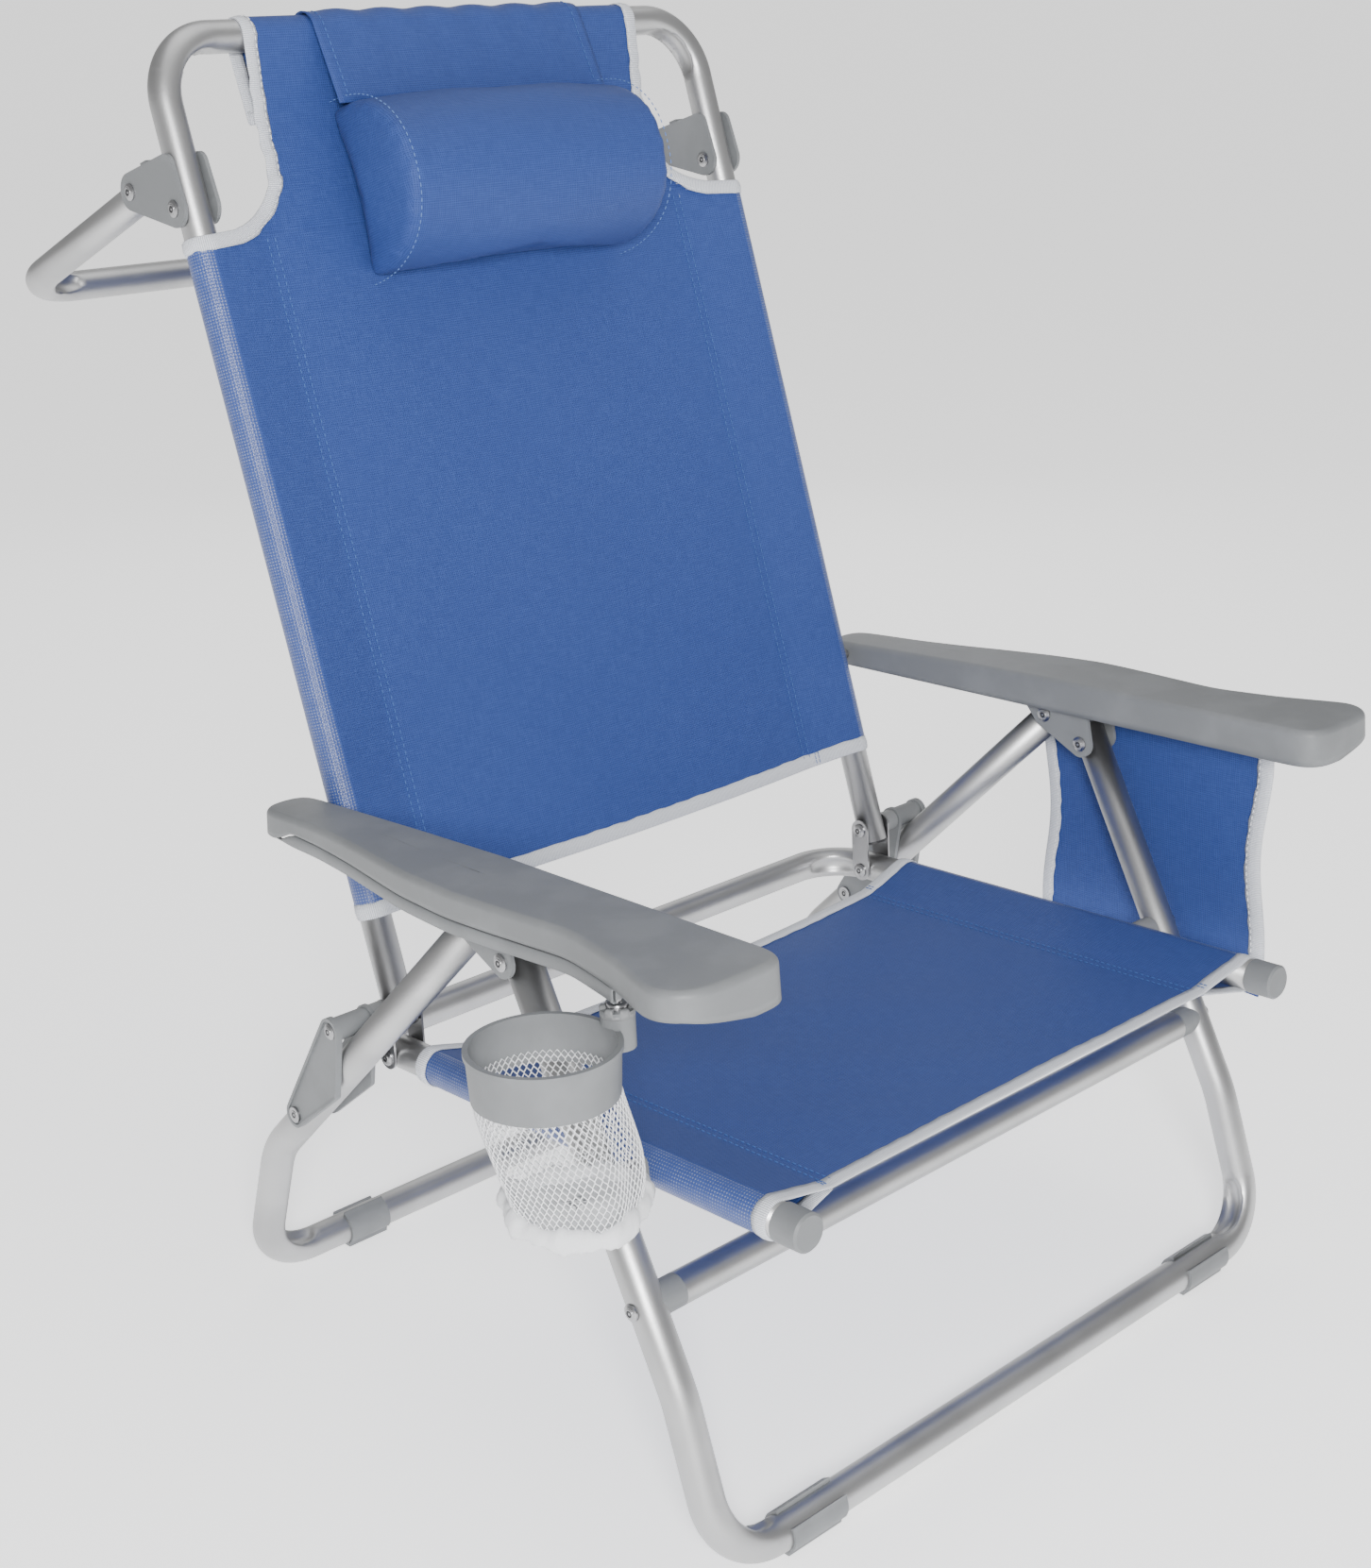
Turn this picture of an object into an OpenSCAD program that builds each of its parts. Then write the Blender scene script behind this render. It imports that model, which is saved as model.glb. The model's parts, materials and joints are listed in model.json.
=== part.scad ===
// Folding beach chair on four bent tube frames, with a lay-flat back and a hinged rear bail.
// +Z is up, the sitter faces -Y, and left and right are the sitter's own.

/* [Tubes] */
// Outside diameter of the leg tubes
leg_od = 25; // [23:0.5:26]
// Outside diameter of the seat frame tube
seat_od = 24; // [22:0.5:25]
// Outside diameter of the back frame, bail and cross tubes
slim_od = 23; // [20:0.5:24]
// Wall of every tube
tube_wall = 1.2; // [1:0.1:1.6]
// Centreline radius of the crimped corners
corner_r = 46; // [42:1:52]
// Depth of the crimp inside each corner
crimp_depth = 4.5; // [3:0.5:5.5]

/* [Seat] */
// Half the distance between the seat rails
seat_half = 251; // [242:1:251]
// Rail ahead of the front leg pivot
rail_front = 136; // [125:1:150]
// Rear cross tube behind the front leg pivot
rail_rear = 316; // [310:1:330]
// Backward slope of the seat, degrees
seat_tilt = 2.6; // [1:0.1:3.5]
// Seat sling ahead of the front leg pivot
sling_front = 112; // [95:1:114]
// Seat sling behind the front leg pivot
sling_rear = 236; // [200:1:238]

/* [Back] */
// Hinge axis to the top bar
back_len = 691; // [640:1:720]
// Recline from vertical as shown, degrees
recline = 18; // [10:1:30]
// Lower hem of the back sling above the hinge
hem_low = 68; // [60:1:90]
// Upper end of the side sleeves above the hinge
sleeve_top = 542; // [500:1:542]
// Half width of the strip that passes over the top bar
strip_half = 183; // [150:1:190]
// Bail pivot below the top bar
bail_drop = 115; // [105:1:125]
// Bail length behind its mounting rivet
bail_len = 222; // [180:1:230]

/* [Legs] */
// Half the distance between the leg tubes
leg_half = 294; // [294:1:310]
// Height of the front leg pivot above the floor
pivot_height = 248; // [240:1:256]
// Front leg pivot to its arm pivot
front_upper = 156; // [150:1:160]
// Front leg pivot to its lower bend
front_lower = 140; // [130:1:150]
// Front leg pivot to the cross tube below it
cross_drop = 78; // [74:1:84]
// Lean of the front leg above the bend, degrees
front_lean = 27.8; // [26:0.1:29]
// Lean of the front leg below the bend, degrees
front_low_lean = 18.8; // [15:0.1:22]
// Rear leg arm pivot to its bend
rear_upper = 382; // [375:1:390]
// Rear leg arm pivot to its link rivet
link_along = 305.5; // [300:0.5:310]
// Lean of the rear leg above the bend, degrees
rear_lean = 45; // [44:0.5:46]
// Lean of the rear leg below the bend, degrees
rear_low_lean = 18.4; // [15:0.1:21]

/* [Arms] */
// Armrest ahead of the front leg's arm pivot
arm_front = 218; // [200:1:228]
// Armrest behind the front leg's arm pivot
arm_rear = 270; // [250:1:280]
// Armrest width over its flared front
arm_wide = 91; // [78:1:97]
// Armrest width at its rear
arm_narrow = 42; // [40:1:47]
// Armrest height at the front
arm_height = 27; // [25:1:31]
// Wall of the moulded shells
shell_wall = 2.5; // [2:0.1:3]

/* [Cup holder and pouch] */
// Inside radius of the cup ring
cup_r = 43; // [38:0.5:44]
// Height of the cup ring
cup_ring_h = 31; // [24:1:36]
// Depth of the net bag below the ring
net_depth = 86; // [60:1:95]
// Width of the side pouch from front to back
pouch_w = 212; // [180:1:215]
// Depth of the side pouch below the armrest
pouch_h = 212; // [170:1:220]

/* [Hidden] */
$fn = 48;

// Fits and fasteners
rivet_r = 3;
rivet_head_r = 6;
rivet_head_h = 2.2;
fit = 0.06;
fabric = 1.2;
strap_t = 1.6;
strap_w = 18;
pad_wall = 2;
pad_base = 16;

// Radii and centres that follow from the driving sizes
leg_r = leg_od / 2;
seat_r = seat_od / 2;
slim_r = slim_od / 2;
crimp_r = 9;
crimp_shift = 11;
foot_z = leg_r + pad_wall;
seat_bend = 36;
hinge_s = 270;
hinge_h = 36;
pivot = [-60, pivot_height];
front_knee = pivot - front_lower * [sin(front_lean), cos(front_lean)];
front_low = (front_knee[1] - foot_z) / cos(front_low_lean);
front_foot = front_knee - front_low * [sin(front_low_lean), cos(front_low_lean)];
arm_pivot = pivot + front_upper * [sin(front_lean), cos(front_lean)];
arm_tilt = 1.66;
arm_rear_pivot = [36, 17];
arm_rear_local = [36 * cos(arm_tilt) - 17 * sin(arm_tilt), 36 * sin(arm_tilt) + 17 * cos(arm_tilt)];
rear_pivot = arm_pivot + arm_rear_pivot;
rear_knee = rear_pivot + rear_upper * [sin(rear_lean), -cos(rear_lean)];
rear_low = (rear_knee[1] - foot_z) / cos(rear_low_lean);
rear_foot = rear_knee + rear_low * [sin(rear_low_lean), -cos(rear_low_lean)];
leg_top = 13;
knee_step = 0.03;
rear_top = 10;
foot_out = leg_half - corner_r - 5;
hinge = pivot + [hinge_s * cos(seat_tilt) + hinge_h * sin(seat_tilt),
    -hinge_s * sin(seat_tilt) + hinge_h * cos(seat_tilt)];
link_low = rear_pivot + link_along * [sin(rear_lean), -cos(rear_lean)];
// Distance from the back hinge to the rear leg's centreline, and the boss that fits beside the leg
leg_beside_hinge = norm(cross(concat(hinge - rear_pivot, [0]), [sin(rear_lean), -cos(rear_lean), 0]));
link_boss_r = leg_beside_hinge - leg_r - 1.15;

// Stack-up across the back hinge, from the middle of the chair outwards
strap_in = seat_half - seat_r - 0.2 - strap_t;
strap_out = seat_half + seat_r + 0.2;
cheek_t = 3.5;
cheek_in = leg_half - leg_r - 0.5 - cheek_t;
cheek_out = leg_half + leg_r + 0.5;

// Armrest frame: u runs outwards from the leg plane, v backwards and z up from the arm pivot
arm_u_in = -25.5;
arm_u_out = arm_u_in + arm_wide;
arm_base = 25.4;
lip = 8;
// Outboard edge of the armrest: share of the length from the rear, and share of the flare
arm_edge = [[0, 0], [0.16, 0.07], [0.25, 0.19], [0.41, 0.48], [0.52, 0.57], [0.61, 0.52], [0.74, 0.41],
    [0.84, 0.62], [0.92, 0.9], [1, 1]];
plate_t = 3;
plate_u = leg_r + 1;
cup_pivot = [31, -127];
cup_offset = [48, 11];
cup_top = 1.5;
boss_top = 12;
cup_wall = 2.6;
boss_r = 10.5;
net_t = 1.2;
pouch_u = plate_u + plate_t + rivet_head_h + 0.8;
pouch_gap = 12;
pouch_front = -150;

// Back frame coordinates: y behind the back plane, z along the tubes from the hinge
stud_z = 149;
bail_z = back_len - bail_drop;
bail_rivet = [50.7, 25];
bail_slope = 5.2;
ear_t = 3;
ear_in = slim_r + 0.3;
bail_ear = ear_in + ear_t;
bail_start = 14;
pillow_half = 125;
pillow_r = 68;
pillow_front = 16;
pillow_z = back_len - 117;
flap_half = 126;
flap_drop = 70;

// The origin is the floor point under the middle of the whole chair
bail_cross = bail_rivet + bail_len * [cos(bail_slope), -sin(bail_slope)];
bail_cross_y = hinge[0] + bail_cross[0] * cos(recline) + (bail_z + bail_cross[1]) * sin(recline);
arm_y_front = arm_pivot[0] - arm_front * cos(arm_tilt) + (arm_base + arm_height) * sin(arm_tilt);
cap_y_front = pivot[0] - (rail_front + 2) * cos(seat_tilt) - 13 * sin(seat_tilt);
cup_x_out = leg_half + cup_pivot[0] + cup_offset[0] + cup_r + cup_wall + 1;
centre_x = (leg_half + arm_u_out - cup_x_out) / 2;
centre_y = (bail_cross_y + slim_r + min(arm_y_front, cap_y_front)) / 2;

module framed() translate([-centre_x, -centre_y, 0]) children();
module seat_space() translate([0, pivot[0], pivot[1]]) rotate([-seat_tilt, 0, 0]) children();
module back_space() translate([0, hinge[0], hinge[1]]) rotate([-recline, 0, 0]) children();
module bail_space() translate([0, bail_rivet[0], bail_z + bail_rivet[1]]) rotate([-bail_slope, 0, 0])
    children();
// side is -1 for the sitter's right arm and 1 for the left
module arm_space(side) mirror([side < 0 ? 1 : 0, 0, 0])
    translate([leg_half, arm_pivot[0], arm_pivot[1]]) rotate([-arm_tilt, 0, 0]) children();
module both_sides() for (s = [0, 1]) mirror([s, 0, 0]) children();

// Straight rod along X
module rod_x(x0, x1, r) translate([x0, 0, 0]) rotate([0, 90, 0]) cylinder(h = x1 - x0, r = r);

// Solid U in the XZ plane: cross bar at z = 0, legs up to z = leg
module u_path(half, leg, rb, r) {
    rod_x(-(half - rb), half - rb, r);
    both_sides() {
        translate([half - rb, 0, rb]) rotate([-90, 0, 0])
            rotate_extrude(angle = 90) translate([rb, 0]) circle(r);
        translate([half, 0, rb]) cylinder(h = leg - rb, r = r);
    }
}
// Ring that presses a crescent dent into the inside of both corners of the same U
module u_crimp(half, rb, r_tube, grow) {
    reach = rb - r_tube + crimp_depth - crimp_shift;
    both_sides() translate([half - rb + crimp_shift / sqrt(2), 0, rb - crimp_shift / sqrt(2)])
        rotate([90, 0, 0]) rotate_extrude() translate([reach - crimp_r, 0]) circle(crimp_r + grow);
}
// Hollow U with crimped corners
module u_tube(half, leg, rb, od) difference() {
    u_path(half, leg, rb, od / 2);
    u_crimp(half, rb, od / 2, 0);
    difference() {
        u_path(half, leg + 1, rb, od / 2 - tube_wall);
        u_crimp(half, rb, od / 2, tube_wall);
    }
}
// Solid floor U whose legs turn by ang towards +Y at a mitred knee
module leg_path(half, z_knee, ang, len, r) {
    intersection() {
        u_path(half, z_knee + r, corner_r, r);
        translate([0, 0, z_knee]) rotate([-ang / 2, 0, 0]) translate([-half - 50, -100, -z_knee - 100])
            cube([2 * half + 100, 200, z_knee + 100]);
    }
    both_sides() translate([half, 0, z_knee]) intersection() {
        rotate([-ang, 0, 0]) translate([0, 0, -r]) cylinder(h = len + r, r = r - knee_step);
        rotate([-ang / 2, 0, 0]) translate([-50, -100, -0.5]) cube([100, 200, len + 100]);
    }
}
module bent_leg(half, z_knee, ang, len) difference() {
    leg_path(half, z_knee, ang, len, leg_r);
    u_crimp(half, corner_r, leg_r, 0);
    difference() {
        leg_path(half, z_knee, ang, len + 1, leg_r - tube_wall);
        u_crimp(half, corner_r, leg_r, tube_wall);
    }
}
// Button rivet along X whose heads bear at x0 and x1
module rivet(x0, x1) {
    rod_x(x0 - 0.5, x1 + 0.5, rivet_r);
    for (e = [[x0, 180], [x1, 0]]) translate([e[0], 0, 0]) rotate([0, 0, e[1]]) rotate([0, 90, 0]) {
        cylinder(h = rivet_head_h / 2, r = rivet_head_r);
        translate([0, 0, rivet_head_h / 2]) cylinder(h = rivet_head_h / 2, r1 = rivet_head_r, r2 = 4);
    }
}
module hole_x(x0, x1) rod_x(x0, x1, rivet_r + fit);

// ---- Seat ----
module seat_frame() framed() seat_space() color("silver") difference() {
    translate([0, rail_rear, 0]) rotate([90, 0, 0])
        difference() {
            u_path(seat_half, rail_rear + rail_front - 3, seat_bend, seat_r);
            u_path(seat_half, rail_rear + rail_front, seat_bend, seat_r - tube_wall);
        }
    both_sides() {
        hole_x(seat_half - 20, seat_half + 20);
        translate([0, hinge_s, 0]) hole_x(seat_half - 20, seat_half + 20);
    }
}
module seat_caps() framed() seat_space() color("darkgray") both_sides()
    translate([seat_half, -rail_front, 0]) rotate([90, 0, 0]) difference() {
        union() {
            translate([0, 0, -20]) cylinder(h = 20.5, r = seat_r + 1.1);
            translate([0, 0, 0.5]) cylinder(h = 1.5, r1 = seat_r + 1.1, r2 = seat_r - 0.5);
        }
        translate([0, 0, -21]) cylinder(h = 18, r = seat_r);
    }
module seat_sling() framed() seat_space() color("royalblue") difference() {
    union() {
        both_sides() translate([seat_half, sling_rear, 0]) rotate([90, 0, 0])
            cylinder(h = sling_rear + sling_front, r = seat_r + fabric + 0.05);
        translate([-seat_half, -sling_front + 6, -fabric])
            cube([2 * seat_half, sling_rear + sling_front - 14, 2 * fabric]);
    }
    both_sides() {
        translate([seat_half, sling_rear + 1, 0]) rotate([90, 0, 0])
            cylinder(h = sling_rear + sling_front + 2, r = seat_r + 0.05);
        rod_x(seat_half, seat_half + 30, 10.5);
        rod_x(seat_half - 20, seat_half, rivet_head_r + 0.5);
    }
}
module strap_shape() difference() {
    union() {
        for (h = [0, hinge_h]) translate([0, h, 0]) cylinder(h = strap_t, r = strap_w / 2);
        translate([-strap_w / 2, 0, 0]) cube([strap_w, hinge_h, strap_t]);
    }
    for (h = [0, hinge_h]) translate([0, h, -1]) cylinder(h = strap_t + 2, r = rivet_r + fit);
}
module hinge_straps() framed() seat_space() color("gray") both_sides()
    for (x = [strap_in, strap_out]) translate([x, hinge_s, 0]) rotate([90, 0, 90]) strap_shape();
module strap_rivets() framed() seat_space() color("lightgray") both_sides()
    translate([0, hinge_s, 0]) rivet(strap_in, strap_out + strap_t);
module back_hinge_rivets() framed() back_space() color("lightgray") both_sides()
    rivet(strap_in, cheek_out + cheek_t);
module link_spacers() framed() back_space() color("darkgray") both_sides() difference() {
    rod_x(strap_out + strap_t, cheek_in - 0.3, 8.5);
    hole_x(strap_out, cheek_in);
}
module leg_spacers() framed() seat_space() color("darkgray") both_sides() difference() {
    rod_x(seat_half + 4, leg_half - leg_r - 0.4, 9.5);
    hole_x(seat_half, leg_half);
    translate([seat_half, 20, 0]) rotate([90, 0, 0]) cylinder(h = 40, r = seat_r);
}
module leg_pivot_rivets() framed() seat_space() color("lightgray") both_sides()
    rivet(seat_half - seat_r, leg_half + leg_r);

// ---- Back ----
module back_frame() framed() back_space() color("silver") difference() {
    translate([0, 0, back_len]) mirror([0, 0, 1]) u_tube(seat_half, back_len + 12, corner_r, slim_od);
    both_sides() for (z = [0, stud_z, bail_z]) translate([0, 0, z]) hole_x(seat_half - 15, seat_half + 15);
}
module back_plugs() framed() back_space() color("dimgray") both_sides() translate([seat_half, 0, -14]) {
    cylinder(h = 2, r = slim_r);
    translate([0, 0, 2]) cylinder(h = 6, r = slim_r - tube_wall);
}
module back_sling() framed() back_space() color("royalblue") difference() {
    union() {
        both_sides() translate([seat_half, 0, hem_low])
            cylinder(h = sleeve_top - hem_low, r = slim_r + fabric + 0.05);
        translate([-seat_half, -fabric, hem_low]) cube([2 * seat_half, 2 * fabric, sleeve_top - hem_low]);
        translate([-strip_half, -fabric, sleeve_top - 1])
            cube([2 * strip_half, 2 * fabric, back_len - sleeve_top]);
        translate([0, 0, back_len]) rod_x(-strip_half, strip_half, slim_r + fabric + 0.05);
    }
    both_sides() translate([seat_half, 0, hem_low - 1])
        cylinder(h = sleeve_top - hem_low + 2, r = slim_r + 0.05);
    translate([0, 0, back_len]) rod_x(-strip_half - 1, strip_half + 1, slim_r + 0.05);
    both_sides() translate([0, 0, stud_z]) rod_x(seat_half - 20, seat_half + 20, rivet_head_r + 0.3);
}
module headrest_pillow() framed() back_space() color("royalblue") difference() {
    translate([0, -pillow_front, pillow_z]) rod_x(-pillow_half, pillow_half, pillow_r);
    translate([-pillow_half - 1, -fabric - 0.3, pillow_z - pillow_r - 1])
        cube([2 * pillow_half + 2, 2 * pillow_r, 2 * pillow_r + 2]);
}
module headrest_flap() framed() back_space() color("royalblue") {
    sleeve_r = slim_r + fabric + 0.35;
    low = pillow_z + sqrt(pow(pillow_r, 2) - pow(pillow_front - sleeve_r, 2));
    translate([-flap_half, -sleeve_r - fabric, low])
        cube([2 * flap_half, fabric, back_len - low]);
    translate([-flap_half, sleeve_r, back_len - flap_drop]) cube([2 * flap_half, fabric, flap_drop]);
    translate([0, 0, back_len]) difference() {
        rod_x(-flap_half, flap_half, sleeve_r + fabric);
        rod_x(-flap_half - 1, flap_half + 1, sleeve_r);
        translate([-flap_half - 1, -sleeve_r - 5, -2 * sleeve_r])
            cube([2 * flap_half + 2, 2 * sleeve_r + 10, 2 * sleeve_r]);
    }
}
module arm_studs() framed() back_space() color("lightgray") both_sides() translate([0, 0, stud_z]) {
    rod_x(seat_half - slim_r - 0.5, seat_half + slim_r + 0.5, rivet_r);
    rod_x(seat_half - slim_r - 2, seat_half - slim_r, rivet_head_r);
    rod_x(seat_half + slim_r, leg_half + arm_u_in - 0.6, 4.5);
}

// ---- Bail ----
module bail_tube() framed() back_space() bail_space() color("silver") difference() {
    translate([0, bail_len, 0]) rotate([90, 0, 0]) u_tube(seat_half, bail_len + bail_start, corner_r, slim_od);
    both_sides() hole_x(seat_half - 15, seat_half + 15);
}
// Bracket with two ears round the back tube and a socket for the bail tube
module bail_bracket() {
    difference() {
        for (x = [-ear_in - ear_t, ear_in]) translate([x, 0, bail_z]) rotate([90, 0, 90]) linear_extrude(ear_t)
            hull() {
                circle(13, $fn = 32);
                translate([-2, 28]) circle(9, $fn = 32);
                translate(bail_rivet) circle(13, $fn = 32);
            }
        translate([0, 0, bail_z]) rod_x(-30, 30, rivet_r + fit);
        translate([0, bail_rivet[0], bail_z + bail_rivet[1]]) rod_x(-30, 30, rivet_r + fit);
    }
    translate([-ear_in - 0.5, bail_rivet[0] - 26, bail_z + 16]) cube([2 * ear_in + 1, 8, 24]);
}
module bail_bracket_right() framed() back_space() color("darkgray") translate([-seat_half, 0, 0])
    bail_bracket();
module bail_bracket_left() framed() back_space() color("darkgray") translate([seat_half, 0, 0])
    bail_bracket();
module bail_rivets() framed() back_space() bail_space() color("lightgray") both_sides()
    rivet(seat_half - bail_ear, seat_half + bail_ear);
module bail_pivot_rivets() framed() back_space() color("lightgray") both_sides()
    translate([0, 0, bail_z]) rivet(seat_half - bail_ear, seat_half + bail_ear);

// ---- Front leg ----
module front_leg() framed() color("silver") difference() {
    translate([0, front_foot[0], front_foot[1]]) rotate([-front_low_lean, 0, 0])
        bent_leg(leg_half, front_low, front_lean - front_low_lean,
            front_lower + front_upper + leg_top);
    translate([0, pivot[0], pivot[1]]) rotate([-front_lean, 0, 0]) both_sides() {
        hole_x(leg_half - 15, leg_half + 15);
        translate([0, 0, front_upper]) hole_x(leg_half - 15, leg_half + 15);
        translate([0, 0, -cross_drop]) hole_x(leg_half - 15, leg_half + 15);
    }
}
module cross_space() framed() translate([0, pivot[0], pivot[1]]) rotate([-front_lean, 0, 0])
    translate([0, 0, -cross_drop]) children();
plug_in = leg_half - leg_r - 13;
module front_cross_tube() cross_space() color("silver") difference() {
    rod_x(-plug_in, plug_in, slim_r);
    rod_x(-plug_in - 1, plug_in + 1, slim_r - tube_wall);
}
module cross_plugs() cross_space() color("darkgray") both_sides() difference() {
    union() {
        rod_x(plug_in, leg_half - 5, slim_r);
        rod_x(plug_in - 22, plug_in, slim_r - tube_wall);
    }
    hole_x(plug_in - 30, leg_half);
    translate([leg_half, 0, -30]) cylinder(h = 60, r = leg_r);
}
module cross_rivets() cross_space() color("lightgray") both_sides()
    rivet(plug_in - 22, leg_half + leg_r);
// Clip-on foot round a floor tube, open towards the angle gap
module foot(x0, x1, gap) difference() {
    union() {
        rod_x(x0, x1, leg_r + pad_wall);
        translate([x0, -pad_base / 2, -leg_r - pad_wall]) cube([x1 - x0, pad_base, 6]);
    }
    rod_x(x0 - 1, x1 + 1, leg_r);
    rotate([gap, 0, 0]) translate([x0 - 1, 0, 0]) rotate([45, 0, 0]) cube([x1 - x0 + 2, 40, 40]);
}
module front_feet() framed() color("darkgray") both_sides()
    translate([0, front_foot[0], front_foot[1]]) foot(foot_out - 50, foot_out, 45);

// ---- Rear leg and links ----
module rear_leg() framed() color("silver") difference() {
    translate([0, rear_foot[0], rear_foot[1]]) rotate([rear_low_lean, 0, 0])
        bent_leg(leg_half, rear_low, rear_low_lean - rear_lean, rear_upper + rear_top);
    translate([0, rear_pivot[0], rear_pivot[1]]) both_sides() hole_x(leg_half - 15, leg_half + 15);
}
module rear_feet() framed() color("darkgray") both_sides()
    translate([0, rear_foot[0], rear_foot[1]]) foot(foot_out - 62, foot_out - 25, -45);
// Link cheek outline in the YZ plane, from the back hinge to the rear leg
module link_outline(r) hull() {
    translate(hinge) circle(r, $fn = 32);
    translate(link_low) circle(r, $fn = 32);
    translate(hinge + [3, -50]) circle(r / 2, $fn = 32);
}
module rear_link() difference() {
    union() {
        for (x = [cheek_in, cheek_out]) translate([x, 0, 0]) rotate([90, 0, 90])
            linear_extrude(cheek_t) link_outline(10);
        translate([0, hinge[0], hinge[1]]) rod_x(cheek_in, cheek_out + cheek_t, link_boss_r);
        translate([cheek_out + cheek_t, 0, 0]) rotate([90, 0, 90]) linear_extrude(1.6) difference() {
            link_outline(10);
            link_outline(7.6);
        }
    }
    for (p = [hinge, link_low]) translate([0, p[0], p[1]]) {
        hole_x(cheek_in - 1, cheek_out + 10);
        rod_x(cheek_out + cheek_t, cheek_out + 10, rivet_head_r + 0.3);
    }
}
module rear_link_right() framed() mirror([1, 0, 0]) color("darkgray") rear_link();
module rear_link_left() framed() color("darkgray") rear_link();
module link_rivets() translate([0, link_low[0], link_low[1]]) for (x = [cheek_in, cheek_out]) {
    head = x < leg_half ? [x - 2, x] : [x + cheek_t, x + cheek_t + 2];
    rod_x(x, x + cheek_t, rivet_r);
    rod_x(head[0], head[1], rivet_head_r);
}
module link_rivets_right() framed() mirror([1, 0, 0]) color("lightgray") link_rivets();
module link_rivets_left() framed() color("lightgray") link_rivets();

// ---- Armrests ----
function arc(c, r, a0, a1, n = 8) = [for (i = [0:n]) c + r * [cos(a0 + (a1 - a0) * i / n), sin(a0 + (a1 - a0) * i / n)]];
// Outboard edge from the rear to the front flare
function edge_u(v) = arm_u_in + arm_narrow + (arm_wide - arm_narrow)
    * lookup((arm_rear - v) / (arm_rear + arm_front), arm_edge);
module arm_plan() polygon(concat(
    arc([arm_u_in + 12, -arm_front + 12], 12, 180, 270),
    arc([arm_u_out - 32, -arm_front + 32], 32, 270, 360),
    [for (v = [-arm_front + 48:20:arm_rear - 24]) [edge_u(v), v]],
    arc([arm_u_in + arm_narrow - 10, arm_rear - 10], 10, 0, 90),
    arc([arm_u_in + 14, arm_rear - 14], 12, 90, 180)));
// Side outline of the armrest between two insets from its outer skin
module arm_side(inset) translate([-150, 0, 0]) rotate([90, 0, 90]) linear_extrude(300) polygon([
    [-arm_front - 5, arm_base], [arm_rear + 5, arm_base],
    [arm_rear + 5, arm_base + arm_height - 9 - inset], [120, arm_base + arm_height - 3.5 - inset],
    [30, arm_base + arm_height - 1 - inset], [-arm_front - 5, arm_base + arm_height - inset]]);
module arm_shell() difference() {
    intersection() {
        translate([0, 0, arm_base]) linear_extrude(60) arm_plan();
        arm_side(0);
    }
    intersection() {
        translate([0, 0, arm_base - 1]) linear_extrude(60) offset(delta = -shell_wall) arm_plan();
        translate([0, 0, -0.01]) arm_side(shell_wall);
    }
    translate([arm_u_in + 10, -arm_front + 78, arm_base - 1])
        cube([200, arm_front + arm_rear, lip + 2]);
    translate([arm_u_in + 40, -arm_front - 1, arm_base - 1]) cube([200, 100, lip + 2]);
}
module armrest_right() framed() arm_space(-1) color("gray") arm_shell();
module armrest_left() framed() arm_space(1) color("gray") arm_shell();
module arm_housing() difference() {
    union() {
        translate([0, 0, arm_base]) linear_extrude(lip) intersection() {
            offset(delta = -shell_wall - 0.5) arm_plan();
            translate([-50, -arm_front + 75]) square([200, arm_front + arm_rear - 125]);
        }
        for (u = [-plate_u - plate_t, plate_u]) translate([u, 0, 0]) rotate([90, 0, 90])
            linear_extrude(plate_t) hull() {
                circle(11, $fn = 32);
                translate(arm_rear_local) circle(11, $fn = 32);
                translate([-6, arm_base]) square([62, 1]);
            }
        translate([cup_pivot[0], cup_pivot[1], arm_base]) cylinder(h = 24, r = 7);
    }
    translate([-plate_u, -24, arm_base - 1]) cube([2 * plate_u, 112, lip + 2]);
    rod_x(-40, 40, rivet_r + fit);
    translate([0, arm_rear_local[0], arm_rear_local[1]]) rod_x(-40, 40, rivet_r + fit);
    translate([cup_pivot[0], cup_pivot[1], arm_base - 1]) cylinder(h = 22, r = rivet_r + fit);
}
module arm_housing_right() framed() arm_space(-1) color("gray") arm_housing();
module arm_housing_left() framed() arm_space(1) color("gray") arm_housing();
module arm_rivets() {
    rivet(-plate_u - plate_t, plate_u + plate_t);
    translate([0, arm_rear_local[0], arm_rear_local[1]]) rivet(-plate_u - plate_t, plate_u + plate_t);
}
module arm_rivets_right() framed() arm_space(-1) color("lightgray") arm_rivets();
module arm_rivets_left() framed() arm_space(1) color("lightgray") arm_rivets();

// ---- Cup holder and pouch ----
cup_centre = cup_pivot + cup_offset;
module cup_ring() framed() arm_space(-1) color("gray") difference() {
    union() {
        translate([cup_centre[0], cup_centre[1], cup_top - cup_ring_h])
            cylinder(h = cup_ring_h, r1 = cup_r + cup_wall - 1.6, r2 = cup_r + cup_wall);
        translate([cup_centre[0], cup_centre[1], cup_top - 3]) cylinder(h = 3, r = cup_r + cup_wall + 1);
        translate([cup_pivot[0], cup_pivot[1], cup_top - 14]) cylinder(h = boss_top - cup_top + 14, r = boss_r);
    }
    translate([cup_centre[0], cup_centre[1], cup_top - cup_ring_h - 1]) cylinder(h = cup_ring_h + 2, r = cup_r);
    translate([cup_pivot[0], cup_pivot[1], cup_top - 20]) cylinder(h = 60, r = rivet_r + fit);
}
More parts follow.
